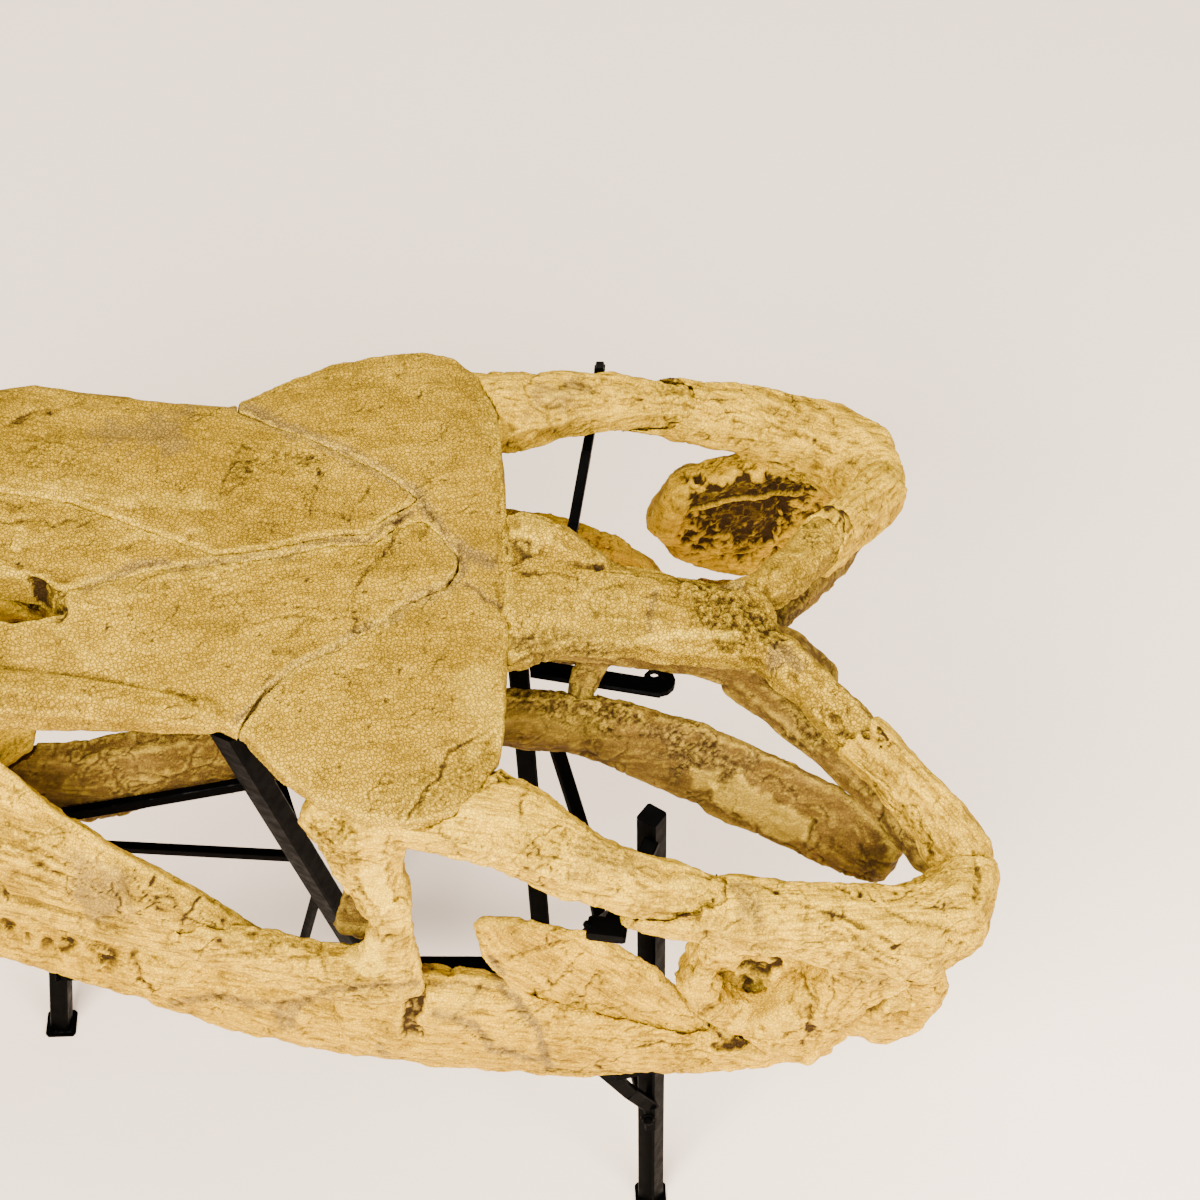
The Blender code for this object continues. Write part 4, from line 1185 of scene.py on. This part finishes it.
@dataclass
class Palate:
    """Braincase and pterygoids, painted darker brown: partly their own colour, partly painted shade from the
    roof.
    """

    shop: Workshop
    rough: Weathering = Weathering(
        swell=1.8, lumps=1.0, fibres=0.6, splits=1.2, pits=1.3, pit_share=0.14, rough_patches=1.2, seed=17,
    )

    def build(self) -> list[bpy.types.Object]:
        """Builds the bones under the roof."""
        found = [self.shop.bone(BoneJob("braincase", PALATE_BROWN_AND_SHADE, self.rough, PALATE_MARKS))]
        for side in Side:
            seats = []
            for k in range(7):
                share = k / 6
                seats.append(tooth_seat(-400 + 210 * share, side.value * (90 - 6 * share), -262 + 66 * share,
                                        30 - 8 * share, 9 - 2 * share, True))
            marks = PALATE_MARKS if side is Side.LEFT else ()
            found.append(self.shop.bone(BoneJob("pterygoid_" + side.word, PALATE_BROWN_AND_SHADE, self.rough, marks), seats))
        return found


@dataclass
class LowerJaw:
    """One half of the lower jaw: dentary with its teeth, surangular and the leaf of the coronoid."""

    shop: Workshop
    side: Side

    def build(self) -> list[bpy.types.Object]:
        """Builds one half of the jaw."""
        word, near = self.side.word, self.side is Side.LEFT
        rough = Weathering(swell=2.2, lumps=1.4, fibres=1.0, splits=1.3, pit_share=0.06,
                           seed=23 + self.side.value)
        row = ToothRow(self.side, -868, -452, 46, 38, 13, 24, False)
        found = []
        for bone, seats in (("dentary_", row.seats()), ("surangular_", None), ("coronoid_", None)):
            marks = JAW_MARKS if near else ()
            found.append(self.shop.bone(BoneJob(bone + word, JAW, rough, marks), seats))
        return found


def seam(path: tuple, width: float = 9.0, depth: float = 1.3) -> tuple[Stroke, Stroke]:
    """A filled suture: a wide shallow groove of grey filler with a faint ragged line in it."""
    return (Stroke(path, width, -0.5 * depth, 0.1, 3.0, fill=0.85), Stroke(path, 4.2, -0.6 * depth, 0.25,
            2.0))


def dots(spots: tuple, width: float = 3.4, depth: float = 1.5) -> tuple[Stroke, ...]:
    """Small oval holes of uneven size, leaning up and to the right, darkened partly with painted shade."""
    return tuple(
        Stroke(((x - 0.7, y + 1.6), (x + 0.7, y - 1.6)), width * (0.7 + 0.11 * ((x + 3 * y) % 6)), -depth,
                0.6, 2.4)
        for x, y in spots
    )


ROOF_MARKS = (
    *seam(((233, 403), (277, 423), (317, 440), (350, 455), (377, 468), (400, 483), (420, 498), (437, 522),
           (450, 540), (467, 553), (493, 562)), 11, 1.5),
    *seam(((83, 587), (127, 570), (160, 562), (190, 567), (213, 560), (230, 562), (267, 553), (287, 557),
           (310, 543), (343, 538), (370, 540), (383, 527), (403, 513), (410, 512)), 8, 1.6),
    *seam(((240, 720), (267, 687), (300, 663), (337, 647), (357, 633), (383, 623), (410, 600), (433, 593),
           (453, 583), (463, 567), (460, 553)), 9, 1.4),
    *seam(((467, 583), (483, 597), (500, 607)), 5, 1.0),
    Stroke(((400, 517), (393, 540), (383, 557), (360, 580), (353, 607), (357, 630)), 5, -1.6, 0.7),
    Stroke(((400, 517), (396, 535), (385, 552)), 10, -0.8, 0.35),
    Stroke(((77, 587), (150, 590), (187, 585), (217, 580), (247, 567)), 3.2, -0.9, 0.5, 4),
    Stroke(((0, 520), (50, 523), (87, 523), (113, 517)), 4.5, -1.0, 0.5, 4),
    Stroke(((60, 602), (110, 597), (230, 570), (330, 550)), 15, 2.2, 0.15),
    Stroke(((20, 383), (67, 380), (92, 392), (80, 403), (47, 412)), 3.6, -1.4, 0.8, 2),
    Stroke(((0, 427), (47, 410)), 6, -2.0, 0.9, 2),
    Stroke(((120, 400), (140, 388), (175, 385), (207, 398)), 6, -2.2, 0.9, 3),
    Stroke(((0, 480), (110, 494), (213, 505)), 15, 0.7, 0.4, 6),
    Stroke(((0, 545), (120, 540), (200, 532)), 8, 0.5, 0.3, 6),
    Patch(((100, 417), (187, 417), (187, 447), (100, 447)), fill=0.6, shade=0.15, soft=16),
    Patch(((233, 453), (327, 453), (327, 473), (233, 473)), sponge=0.7, shade=0.3, soft=14),
    Patch(((20, 440), (90, 430), (95, 470), (25, 475)), sponge=0.45, shade=0.15, soft=18),
    # Painted shade in the hollow at the nostril's rear end.
    Patch(((30, 575), (66, 590), (62, 622), (32, 610)), shade=0.9, lift=-4.0, soft=6),
    Stroke(((58, 623), (70, 643), (93, 660), (117, 673), (160, 690)), 11, 1.8, 0.25, 2),
    Stroke(((0, 558), (33, 570), (67, 580)), 6, -1.8, 0.8),
    Patch(((455, 670), (500, 675), (500, 745), (470, 750)), pale=0.45, sponge=0.25, soft=16),
    Patch(((477, 373), (517, 380), (517, 467), (490, 470)), pale=0.35, sponge=0.3, lift=0.8, soft=12),
    Patch(((380, 780), (440, 765), (490, 745), (500, 760), (440, 810), (390, 815)), sponge=0.5, shade=0.1,
            soft=14),
    Stroke(((407, 817), (440, 773), (447, 753), (493, 727)), 4, -1.5, 0.8),
    Stroke(((497, 470), (500, 527), (500, 607), (507, 627), (487, 650)), 6, -1.6, 0.4, 4),
    *dots(((108, 627), (198, 646), (405, 366), (327, 377), (360, 409), (368, 491),
           (320, 473), (400, 670), (430, 620), (350, 597), (367, 727), (300, 710), (340, 765), (385, 700),
           (452, 700), (275, 650), (150, 640), (445, 430), (395, 430), (420, 395), (300, 400), (180, 480))),
)
PARIETAL_MARKS = (
    Stroke(((500, 572), (540, 573), (580, 577)), 4, -1.6, 0.8, 4),
    Stroke(((580, 577), (584, 600), (594, 617)), 3.4, -1.2, 0.8, 4),
    Stroke(((590, 533), (592, 550), (597, 567)), 3.4, -1.3, 0.8),
    # Painted shade in a slit.
    Stroke(((577, 564), (603, 566)), 5, -3.0, 1.0, 1),
    Stroke(((610, 560), (640, 572), (680, 578)), 3.2, -1.0, 0.6, 4),
    Stroke(((655, 590), (650, 610), (648, 635)), 6, -0.8, 0.3, 4, fill=0.7),
    Stroke(((503, 500), (505, 560)), 6, -2.2, 0.8),
    Patch(((512, 500), (545, 495), (560, 520), (548, 545), (515, 542)), lift=3.0, pale=0.3, soft=16),
    # Painted shade in a hollow.
    Patch(((508, 540), (535, 542), (535, 560), (508, 560)), shade=0.7, lift=-2.5, soft=10),
    Patch(((505, 580), (600, 585), (650, 600), (640, 640), (560, 640), (510, 630)), pale=0.2, soft=20),
    Patch(((690, 580), (735, 590), (790, 640), (770, 660), (715, 640), (690, 620)), sponge=0.95, shade=0.2,
            soft=16),
    Patch(((500, 632), (590, 628), (640, 645), (600, 662), (505, 660)), sponge=0.6, fill=0.3, shade=0.3,
            soft=12),
    # A ridge made paler: pale bone plates, partly painted highlight.
    Stroke(((640, 640), (680, 632), (735, 636)), 7, 1.4, 0.7, 3),
    Patch(((722, 576), (745, 578), (745, 592), (722, 590)), fill=0.9, soft=8),
    Patch(((775, 640), (810, 660), (800, 675), (770, 665)), fill=0.8, lift=-1.0, soft=8),
    Stroke(((745, 605), (790, 650), (800, 680), (850, 740)), 10, -2.6, 0.6, 4),
    Stroke(((837, 667), (843, 693), (857, 733)), 3.4, -1.4, 0.8),
    Stroke(((860, 737), (893, 747), (923, 747)), 3.4, -1.3, 0.8),
    Stroke(((820, 650), (870, 710), (920, 775), (955, 820)), 3.4, -0.9, 0.35, 5),
    Stroke(((805, 660), (850, 725), (890, 790)), 3.2, -0.8, 0.35, 5),
    Stroke(((877, 537), (900, 547)), 3.2, -1.2, 0.8),
    Stroke(((790, 590), (840, 560), (880, 530), (900, 500)), 4, -1.1, 0.4, 5),
    Stroke(((823, 590), (867, 572), (895, 550)), 3.4, -1.0, 0.5, 4),
    Stroke(((815, 583), (826, 600)), 5, -2.0, 0.9, 2),
)
CHEEK_MARKS = (
    Patch(((405, 800), (450, 785), (485, 765), (492, 780), (440, 818), (410, 822)), sponge=0.95, shade=0.3,
            lift=-1.5),
    # Spongy broken bone with painted shade in its hollow.
    Patch(((490, 745), (515, 750), (520, 775), (495, 778)), sponge=1.0, shade=0.5, lift=-2.0, soft=8),
    Patch(((310, 812), (350, 812), (357, 860), (335, 872), (308, 850)), sponge=0.8, shade=0.15, soft=12),
    Patch(((297, 890), (340, 883), (343, 933), (300, 930)), pale=0.7, lift=1.4, soft=12),
    Stroke(((316, 890), (325, 930)), 3, -0.8, 0.5),
    Patch(((360, 868), (385, 868), (392, 905), (380, 914), (362, 885)), pale=0.7, lift=2.4, soft=6),
    # Painted highlight on a ridge.
    Patch(((358, 938), (380, 938), (382, 972), (356, 972)), pale=1.0, soft=14),
    Stroke(((340, 868), (358, 880), (372, 905), (382, 930)), 4, -1.6, 0.7, 4),
    Stroke(((413, 860), (410, 893), (411, 933), (420, 970)), 4, 0.8, 0.4, 2),
    Stroke(((527, 783), (518, 807), (523, 830), (543, 850)), 3.4, -1.3, 0.8),
    Stroke(((493, 856), (506, 852)), 6, 1.0, 0.5, 1),
    Stroke(((570, 800), (566, 830), (560, 860)), 3.2, -0.9, 0.5, 4),
    Patch(((567, 833), (640, 845), (640, 880), (575, 876)), sponge=0.4, fill=0.35, soft=20),
    # Painted shade in a slit, with a painted highlight beside it.
    Stroke(((687, 872), (711, 878)), 4, -2.4, 1.0, 1),
    Patch(((670, 880), (695, 884), (690, 894), (668, 890)), pale=0.9, soft=8),
    Patch(((727, 876), (752, 882), (764, 920), (738, 918)), fill=0.6, sponge=0.3, soft=10),
    Stroke(((750, 877), (800, 905), (850, 920), (900, 950)), 5, -1.9, 0.65),
    Stroke(((783, 907), (833, 933), (867, 953), (900, 975)), 4.5, -1.4, 0.5),
    Stroke(((800, 875), (867, 898), (900, 920), (950, 930)), 4.5, -1.5, 0.5),
    Stroke(((760, 895), (830, 920), (900, 965)), 4, -1.0, 0.4),
    Stroke(((820, 890), (880, 905), (940, 945)), 3.6, -0.9, 0.35),
    Stroke(((975, 850), (979, 880), (978, 905)), 4, -1.8, 0.7),
    Stroke(((930, 850), (920, 870), (935, 890)), 4, -1.3, 0.5, 5),
    Patch(((900, 850), (960, 835), (968, 870), (910, 890)), sponge=0.35, soft=20),
    Stroke(((640, 905), (665, 912), (690, 918)), 7, -1.2, 0.8, 4, sponge=0.6),
    Stroke(((400, 880), (440, 862), (480, 858), (510, 862)), 5, 0.8, 0.35, 3),
    Stroke(((150, 885), (155, 875)), 3.6, -1.3, 0.8, 1),
    Stroke(((200, 898), (185, 915), (178, 942)), 3.4, -1.6, 0.9, 2),
    Stroke(((272, 942), (265, 957)), 3.4, -1.5, 0.9, 1),
    Stroke(((222, 925), (218, 940), (226, 955)), 6, -1.4, 0.5),
    # Painted shade on the inner face of the jugal and maxilla.
    Patch(((100, 845), (150, 868), (200, 890), (330, 935), (335, 952), (250, 952), (190, 930), (120, 905)),
            shade=0.75, soft=16),
    Patch(((70, 850), (130, 878), (133, 915), (95, 918), (70, 890)), fill=0.8, shade=0.1, soft=14),
    *(Stroke(((0, y), (35, y + 12), (72, y + 30)), 3.6, -1.3, 0.5, 3) for y in (826, 838, 850, 864, 876)),
    *(Stroke(((5, y), (40, y + 12), (75, y + 30)), 4.0, 0.9, 0.4, 3) for y in (831, 844, 857)),
    Patch(((267, 947), (335, 945), (340, 972), (280, 975)), sponge=0.3, soft=12),
    Stroke(((170, 1004), (212, 997), (250, 1004), (295, 1005), (332, 990), (375, 987), (420, 984)), 6,
            -1.5, 0.4, 2, fill=0.8),
)
FAR_MARKS = (
    Stroke(((560, 385), (640, 400), (740, 412), (810, 440), (880, 480)), 4, -1.2, 0.5, 5),
    Stroke(((600, 378), (700, 395), (790, 412), (850, 440)), 4, -1.0, 0.45, 5),
    Stroke(((620, 400), (700, 425), (780, 455)), 3.6, -0.9, 0.4, 5),
    Patch(((525, 385), (580, 378), (585, 410), (530, 415)), fill=0.6, soft=14),
    # Painted shade under the far bar.
    Patch(((545, 420), (640, 430), (640, 442), (545, 435)), shade=0.35, soft=10),
    # Painted shade in the hollow of the far quadrate.
    Patch(((690, 480), (790, 470), (820, 500), (760, 550), (690, 545)), shade=1.0, lift=-6.0, soft=20),
    Patch(((700, 488), (785, 482), (800, 505), (755, 540), (700, 538)), shade=0.5, soft=16),
    Patch(((665, 495), (700, 490), (700, 530), (670, 530)), shade=0.35, soft=14),
)
PALATE_MARKS = (
    Patch(((500, 670), (560, 680), (610, 695), (657, 720), (610, 735), (540, 715), (500, 700)), sponge=1.0,
            shade=0.2, soft=12),
    Patch(((505, 705), (600, 712), (605, 738), (508, 738)), pale=0.2, soft=10),
    Patch(((640, 720), (700, 735), (760, 770), (740, 790), (660, 760)), sponge=0.7, fill=0.3, shade=0.1,
            soft=20),
    Patch(((707, 780), (740, 778), (812, 822), (806, 845), (770, 835), (712, 800)), pale=0.55, lift=1.5,
            soft=6),
    Stroke(((812, 822), (806, 845), (798, 862)), 4, -2.0, 0.9, 2),
    Patch(((690, 765), (720, 770), (715, 790), (692, 785)), pale=0.5, lift=1.5, soft=6),
    Stroke(((690, 745), (760, 775), (830, 815)), 4, -1.3, 0.5, 5),
    Stroke(((820, 850), (850, 865), (870, 880)), 5, 1.0, 0.2, 5),
    # Painted shade at the pterygoid's rear end.
    Patch(((868, 820), (925, 830), (915, 888), (860, 885)), shade=1.0, soft=24),
)
JAW_MARKS = (
    # Painted shade in empty tooth sockets.
    Stroke(((54, 944), (66, 948)), 18, -9, 1.0, 1), Stroke(((97, 955), (110, 960)), 18, -9, 1.0, 1),
    Stroke(((2, 930), (18, 936)), 17, -9, 1.0, 1),
    Patch(((135, 938), (160, 940), (205, 955), (190, 990), (150, 985)), lift=2.0, pale=0.15, soft=10),
    Stroke(((135, 940), (138, 975), (150, 992), (162, 1007), (175, 1022), (207, 1030)), 6, -2.6, 0.8),
    Patch(((150, 940), (170, 945), (165, 960), (145, 955)), sponge=0.5, soft=8),
    Stroke(((170, 1004), (212, 997), (250, 1004), (295, 1005), (332, 990), (375, 987), (420, 984)), 7,
            -1.6, 0.5, 2, fill=0.8),
    Patch(((272, 1003), (300, 1005), (298, 1030), (280, 1033)), fill=0.9, lift=-1.0, soft=8),
    Stroke(((207, 1028), (275, 1045), (310, 1052), (380, 1060)), 3.6, -1.2, 0.6, 5),
    Stroke(((298, 1012), (340, 1018), (400, 1022)), 3.4, -0.9, 0.4, 5),
    Stroke(((378, 1046), (388, 1060), (402, 1074)), 6, -1.0, 0.3, 2, fill=0.85),
    # Plaster in a notch, darkened with painted shade.
    Patch(((403, 990), (425, 985), (424, 1010), (416, 1025), (424, 1038), (405, 1038)), fill=0.7,
            lift=-5.0, shade=0.75, soft=5),
    Stroke(((490, 960), (503, 985), (517, 1003), (537, 1030), (550, 1068)), 8, -1.6, 0.2, 3, fill=1.0),
    Stroke(((433, 1013), (455, 1018), (477, 1030), (493, 1050), (540, 1060)), 7, -1.3, 0.25, 3, fill=1.0),
    Stroke(((425, 985), (460, 984), (490, 990)), 4, -1.2, 0.4, 3, fill=0.7),
    Stroke(((455, 1018), (470, 1000), (480, 985)), 4, -1.0, 0.4, 3, fill=0.7),
    Patch(((455, 967), (478, 964), (493, 972), (480, 980), (456, 978)), lift=2.2, pale=0.35, soft=5),
    Patch(((430, 990), (470, 988), (478, 1005), (445, 1014)), pale=0.35, lift=0.8, soft=10),
    Stroke(((487, 967), (533, 950), (567, 940)), 3.6, -1.3, 0.7, 4),
    Stroke(((533, 997), (553, 985), (567, 970), (582, 953)), 3.6, -1.3, 0.75, 4),
    Stroke(((469, 928), (475, 918), (486, 914)), 5, -1.4, 0.8, 3),
    Patch(((470, 925), (484, 940), (480, 955), (470, 945)), sponge=0.5, shade=0.2, soft=8),
    Stroke(((560, 1040), (620, 1042), (680, 1050)), 3.2, -0.9, 0.5, 5),
    Stroke(((625, 1045), (628, 1068)), 3.2, -1.1, 0.6, 2),
    Stroke(((598, 1068), (615, 1074), (634, 1080)), 6, -1.6, 0.8),
    Stroke(((675, 1050), (682, 1072)), 3.2, -1.0, 0.6, 2),
    # Painted shade in a gap behind the jaw.
    Stroke(((712, 1018), (720, 1032), (716, 1050)), 6, -3.0, 0.9, 3),
    Patch(((715, 1030), (770, 1034), (745, 1046), (718, 1048)), shade=1.0, lift=-3.0, soft=8),
    Patch(((560, 985), (620, 990), (610, 1035), (560, 1030)), shade=0.12, soft=26),
    Stroke(((520, 1070), (580, 1076), (640, 1080)), 5, -1.0, 0.3, 5),
)
QUADRATE_MARKS = (
    # Painted shade in a cavity and a slit.
    Patch(((740, 966), (768, 962), (770, 985), (745, 990)), shade=1.0, lift=-5.0, sponge=0.8, soft=6),
    Patch(((767, 940), (784, 940), (782, 968), (770, 966)), shade=1.0, lift=-5.0, soft=5),
    Patch(((672, 975), (700, 968), (722, 978), (720, 1000), (700, 1012), (672, 1008)), lift=4.0, soft=8),
    Stroke(((667, 985), (690, 970), (722, 975), (724, 1003), (700, 1014)), 4.5, -2.2, 0.7, 2),
    Patch(((685, 930), (735, 930), (738, 960), (690, 962)), lift=1.5, pale=0.2, soft=10),
    Stroke(((704, 944), (716, 948), (712, 960), (702, 956), (704, 944)), 3.4, -1.0, 0.5, 1),
    Patch(((730, 990), (770, 972), (800, 985), (798, 1030), (760, 1042), (732, 1020)), lift=3.5, pale=0.3,
            soft=14),
    Stroke(((800, 975), (812, 1000), (806, 1035)), 4.5, -2.2, 0.7, 5),
    Patch(((850, 955), (900, 965), (910, 985), (860, 985)), fill=0.4, sponge=0.4, soft=16),
    Patch(((883, 992), (910, 988), (912, 1008), (886, 1012)), lift=3.0, pale=0.4, soft=6),
    Stroke(((870, 1012), (884, 1000), (880, 985)), 4.5, -2.0, 0.6),
    Stroke(((740, 1042), (780, 1035), (815, 1030), (860, 1036)), 4, -1.2, 0.5, 4),
    *(Stroke(((818 + 14 * k, 975 + 3 * k), (812 + 15 * k, 1030 - 2 * k)), 3.6, -1.3, 0.4,
            6) for k in range(6)),
)


WELDS = (
    ((126, -206, 3), (0, 0, 1), 11.2), ((-502, 24, 3), (0, 0, 1), 11.2), ((-160, 178, 3), (0, 0, 1), 11.2),
    ((22, 1, 130), (0, 0, 1), 10.5), ((-155, 0, 130), (-0.13, -0.24, 0.96), 12.2), ((-160, 166, 119), (0,
            1, 0), 11.6),
    ((120, -195, 196), (0.3, -0.7, -0.6), 7.4), ((9, -3, 588), (0.5, -0.3, -0.8), 7.4), ((-488, 20, 118),
            (1, 0, 0), 11.4),
)


def stand_point(x: float, y: float, z: float) -> Vector:
    """A point of the upright stand, in millimetres, in the shared frame in metres."""
    return Vector((x + LENGTH_SHIFT, y + WIDTH_SHIFT, z)) * MM


def hit_steel(x: float, y: float) -> tuple[Vector, Vector] | None:
    """The first stand surface under a place in the picture, and its outward direction.

    Args:
        x: pixels from the picture's left edge.
        y: pixels from its top edge.

    Returns:
        Place and direction, or None where no steel lies there.
    """
    right, up, back = (Vector(axis) for axis in VIEW.axes())
    start, half = Vector(VIEW.place), FRAME_SIZE / 2
    reach = VIEW.lens / VIEW.sensor * FRAME_SIZE
    way = (right * ((x - half) / reach) - up * ((y - half) / reach) - back).normalized()
    best = None
    for node in sorted(frame["nodes"]):
        if node.startswith("stand_"):
            found, place, normal, _ = frame["nodes"][node].ray_cast(start, way)
            if found and (best is None or (place - start).length < (best[0] - start).length):
                best = (place.copy(), normal.copy())
    return best


@dataclass
class Stand:
    """The black welded stand: softened bars, bolt heads and weld beads."""

    shop: Workshop
    bevel: float = 1.1
    bolt_spots: tuple = ((650, 977, 13), (648, 1118, 15), (588, 925, 9), (654, 674, 8))

    def dress(self, node: str) -> bpy.types.Object:
        """A softened copy of one stand node, with its edges marked to be drawn lighter, as worn paint and
        painted highlight.
        """
        source = bpy.data.objects.new(node + "_steel", frame["nodes"][node].data.copy())
        bpy.context.scene.collection.objects.link(source)
        welded = bmesh.new()
        welded.from_mesh(source.data)
        bmesh.ops.remove_doubles(welded, verts=welded.verts, dist=1e-6)
        bmesh.ops.dissolve_limit(welded, angle_limit=0.02, verts=welded.verts, edges=welded.edges)
        bmesh.ops.recalc_face_normals(welded, faces=welded.faces)
        welded.to_mesh(source.data)
        welded.free()
        soft = source.modifiers.new("soft_edges", "BEVEL")
        soft.width = self.bevel * MM
        soft.segments = 2
        soft.limit_method = "ANGLE"
        soft.angle_limit = math.radians(25)
        soft.use_clamp_overlap = True
        soft.harden_normals = True
        graph = bpy.context.evaluated_depsgraph_get()
        data = bpy.data.meshes.new_from_object(source.evaluated_get(graph))
        source.modifiers.remove(soft)
        source.data = data
        self.mark_edges(data)
        data.materials.clear()
        data.materials.append(self.shop.steel)
        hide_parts(node)
        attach(source, "root")
        LOG.info("%s: %d points", source.name, len(data.vertices))
        return source

    def mark_edges(self, data: bpy.types.Mesh) -> None:
        """Writes the edge attribute: 1 on the slim faces of softened corners."""
        slim = []
        for face in data.polygons:
            corners = [data.vertices[index].co for index in face.vertices]
            around = sum((a - b).length for a, b in zip(corners, corners[1:] + corners[:1]))
            slim.append(1.0 if 2 * face.area < self.bevel * MM * around else 0.0)
        layer = data.attributes.new("edge", "FLOAT", "FACE")
        layer.data.foreach_set("value", slim)

    def bolts(self) -> bpy.types.Object:
        """Bolt heads at the photo's places, each seated on the steel that lies under it there."""
        seats = []
        for x, y, across in self.bolt_spots:
            found = hit_steel(x, y)
            if found:
                place, normal = found
                sunk = place - normal * 0.4 * MM
                seats.append(seat_facing(sunk, normal, Vector((0.3, 0.9, 0.2)), (across * MM,) * 3))
        return self.fit(self.shop.bolt.grow("stand_bolt_heads", seats, Finish=self.shop.steel))

    def beads(self) -> bpy.types.Object:
        """Weld beads round the feet of the bars, where each meets the steel that carries it."""
        seats = []
        for centre, axis, half in WELDS:
            way = Vector(axis).normalized()
            side = way.orthogonal().normalized() if abs(way.z) < 0.95 else Vector((1, 0, 0))
            other = way.cross(side)
            middle = stand_point(*centre)
            corners = [(-1, -1), (1, -1), (1, 1), (-1, 1), (-1, -1)]
            for (ua, va), (ub, vb) in zip(corners, corners[1:]):
                for k in range(7):
                    u, v = ua + (ub - ua) * k / 7, va + (vb - va) * k / 7
                    place = middle + (side * u + other * v) * half * MM
                    wide = (2.5 + 0.5 * math.sin(5.1 * len(seats))) * MM
                    seats.append(seat_facing(place, way, side, (wide, wide, 2.0 * MM)))
        return self.fit(self.shop.weld.grow("stand_weld_beads", seats, Finish=self.shop.steel))

    def fit(self, piece: bpy.types.Object) -> bpy.types.Object:
        """Adds the edge attribute, for worn paint and painted highlight, to a repeated piece and fixes it to
        the object's one body.
        """
        layer = piece.data.attributes.new("edge", "FLOAT", "POINT")
        layer.data.foreach_set("value", np.full(len(piece.data.vertices), 0.25, np.float32))
        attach(piece, "root")
        LOG.info("%s: %d points", piece.name, len(piece.data.vertices))
        return piece

    def build(self) -> list[bpy.types.Object]:
        """Dresses every stand node, then adds bolts and beads."""
        small = [self.bolts(), self.beads()]
        return [self.dress(node) for node in sorted(frame["nodes"]) if node.startswith("stand_")] + small


@dataclass
class Studio:
    """A plain pale floor and soft light."""

    floor: tuple[float, float, float] = (0.93, 0.77, 0.64)

    def build(self) -> None:
        """Builds floor, lights and camera."""
        mesh = bpy.data.meshes.new("studio_floor")
        reach = 14.0
        corners = [(-reach, -reach, 0), (reach, -reach, 0), (reach, reach, 0), (-reach, reach, 0)]
        mesh.from_pydata(corners, [], [(0, 1, 2, 3)])
        floor = bpy.data.objects.new("studio_floor", mesh)
        bpy.context.scene.collection.objects.link(floor)
        matte = bpy.data.materials.new("pale_floor")
        matte.use_nodes = True
        shader = matte.node_tree.nodes["Principled BSDF"]
        shader.inputs["Base Color"].default_value = (*self.floor, 1)
        shader.inputs["Roughness"].default_value = 0.85
        shader.inputs["Specular IOR Level"].default_value = 0.15
        mesh.materials.append(matte)
        self.light("key_softbox", (-0.9, -2.75, 2.95), (0.05, -0.1, 0.5), 1.8, 540, (1.0, 0.95, 0.86))
        self.light("top_softbox", (0.5, 0.4, 4.6), (0.1, 0.2, 0.0), 2.6, 420, (1.0, 0.95, 0.87))
        self.light("front_softbox", (1.4, -2.0, 1.5), (0.5, -0.6, 0.0), 1.4, 140, (1.0, 0.95, 0.87))
        world = bpy.data.worlds.new("studio_air")
        world.use_nodes = True
        world.node_tree.nodes["Background"].inputs["Color"].default_value = (1.0, 0.96, 0.89, 1)
        world.node_tree.nodes["Background"].inputs["Strength"].default_value = 0.38
        bpy.context.scene.world = world
        VIEW.make_camera()

    def light(self, name: str, place: tuple, aim: tuple, size: float, power: float, colour: tuple) -> None:
        """Adds one square soft light that looks at a point."""
        data = bpy.data.lights.new(name, "AREA")
        data.size = size
        data.energy = power
        data.color = colour
        lamp = bpy.data.objects.new(name, data)
        bpy.context.scene.collection.objects.link(lamp)
        lamp.location = place
        lamp.visible_camera = False
        lamp.rotation_euler = (Vector(aim) - Vector(place)).to_track_quat("-Z", "Y").to_euler()


def main() -> None:
    """Builds the studio, the bones and the stand, and reports each piece."""
    logging.basicConfig(level=logging.INFO, format="%(name)s %(message)s")
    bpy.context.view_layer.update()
    Studio().build()
    shop = Workshop()
    sets = [SkullRoof(shop), Snout(shop), Palate(shop)]
    for side in Side:
        sets += [Cheek(shop, side), LowerJaw(shop, side)]
    sets.append(Stand(shop))
    for part in sets:
        for piece in part.build():
            LOG.info("made %s", piece.name)


if __name__ == "__main__":
    main()
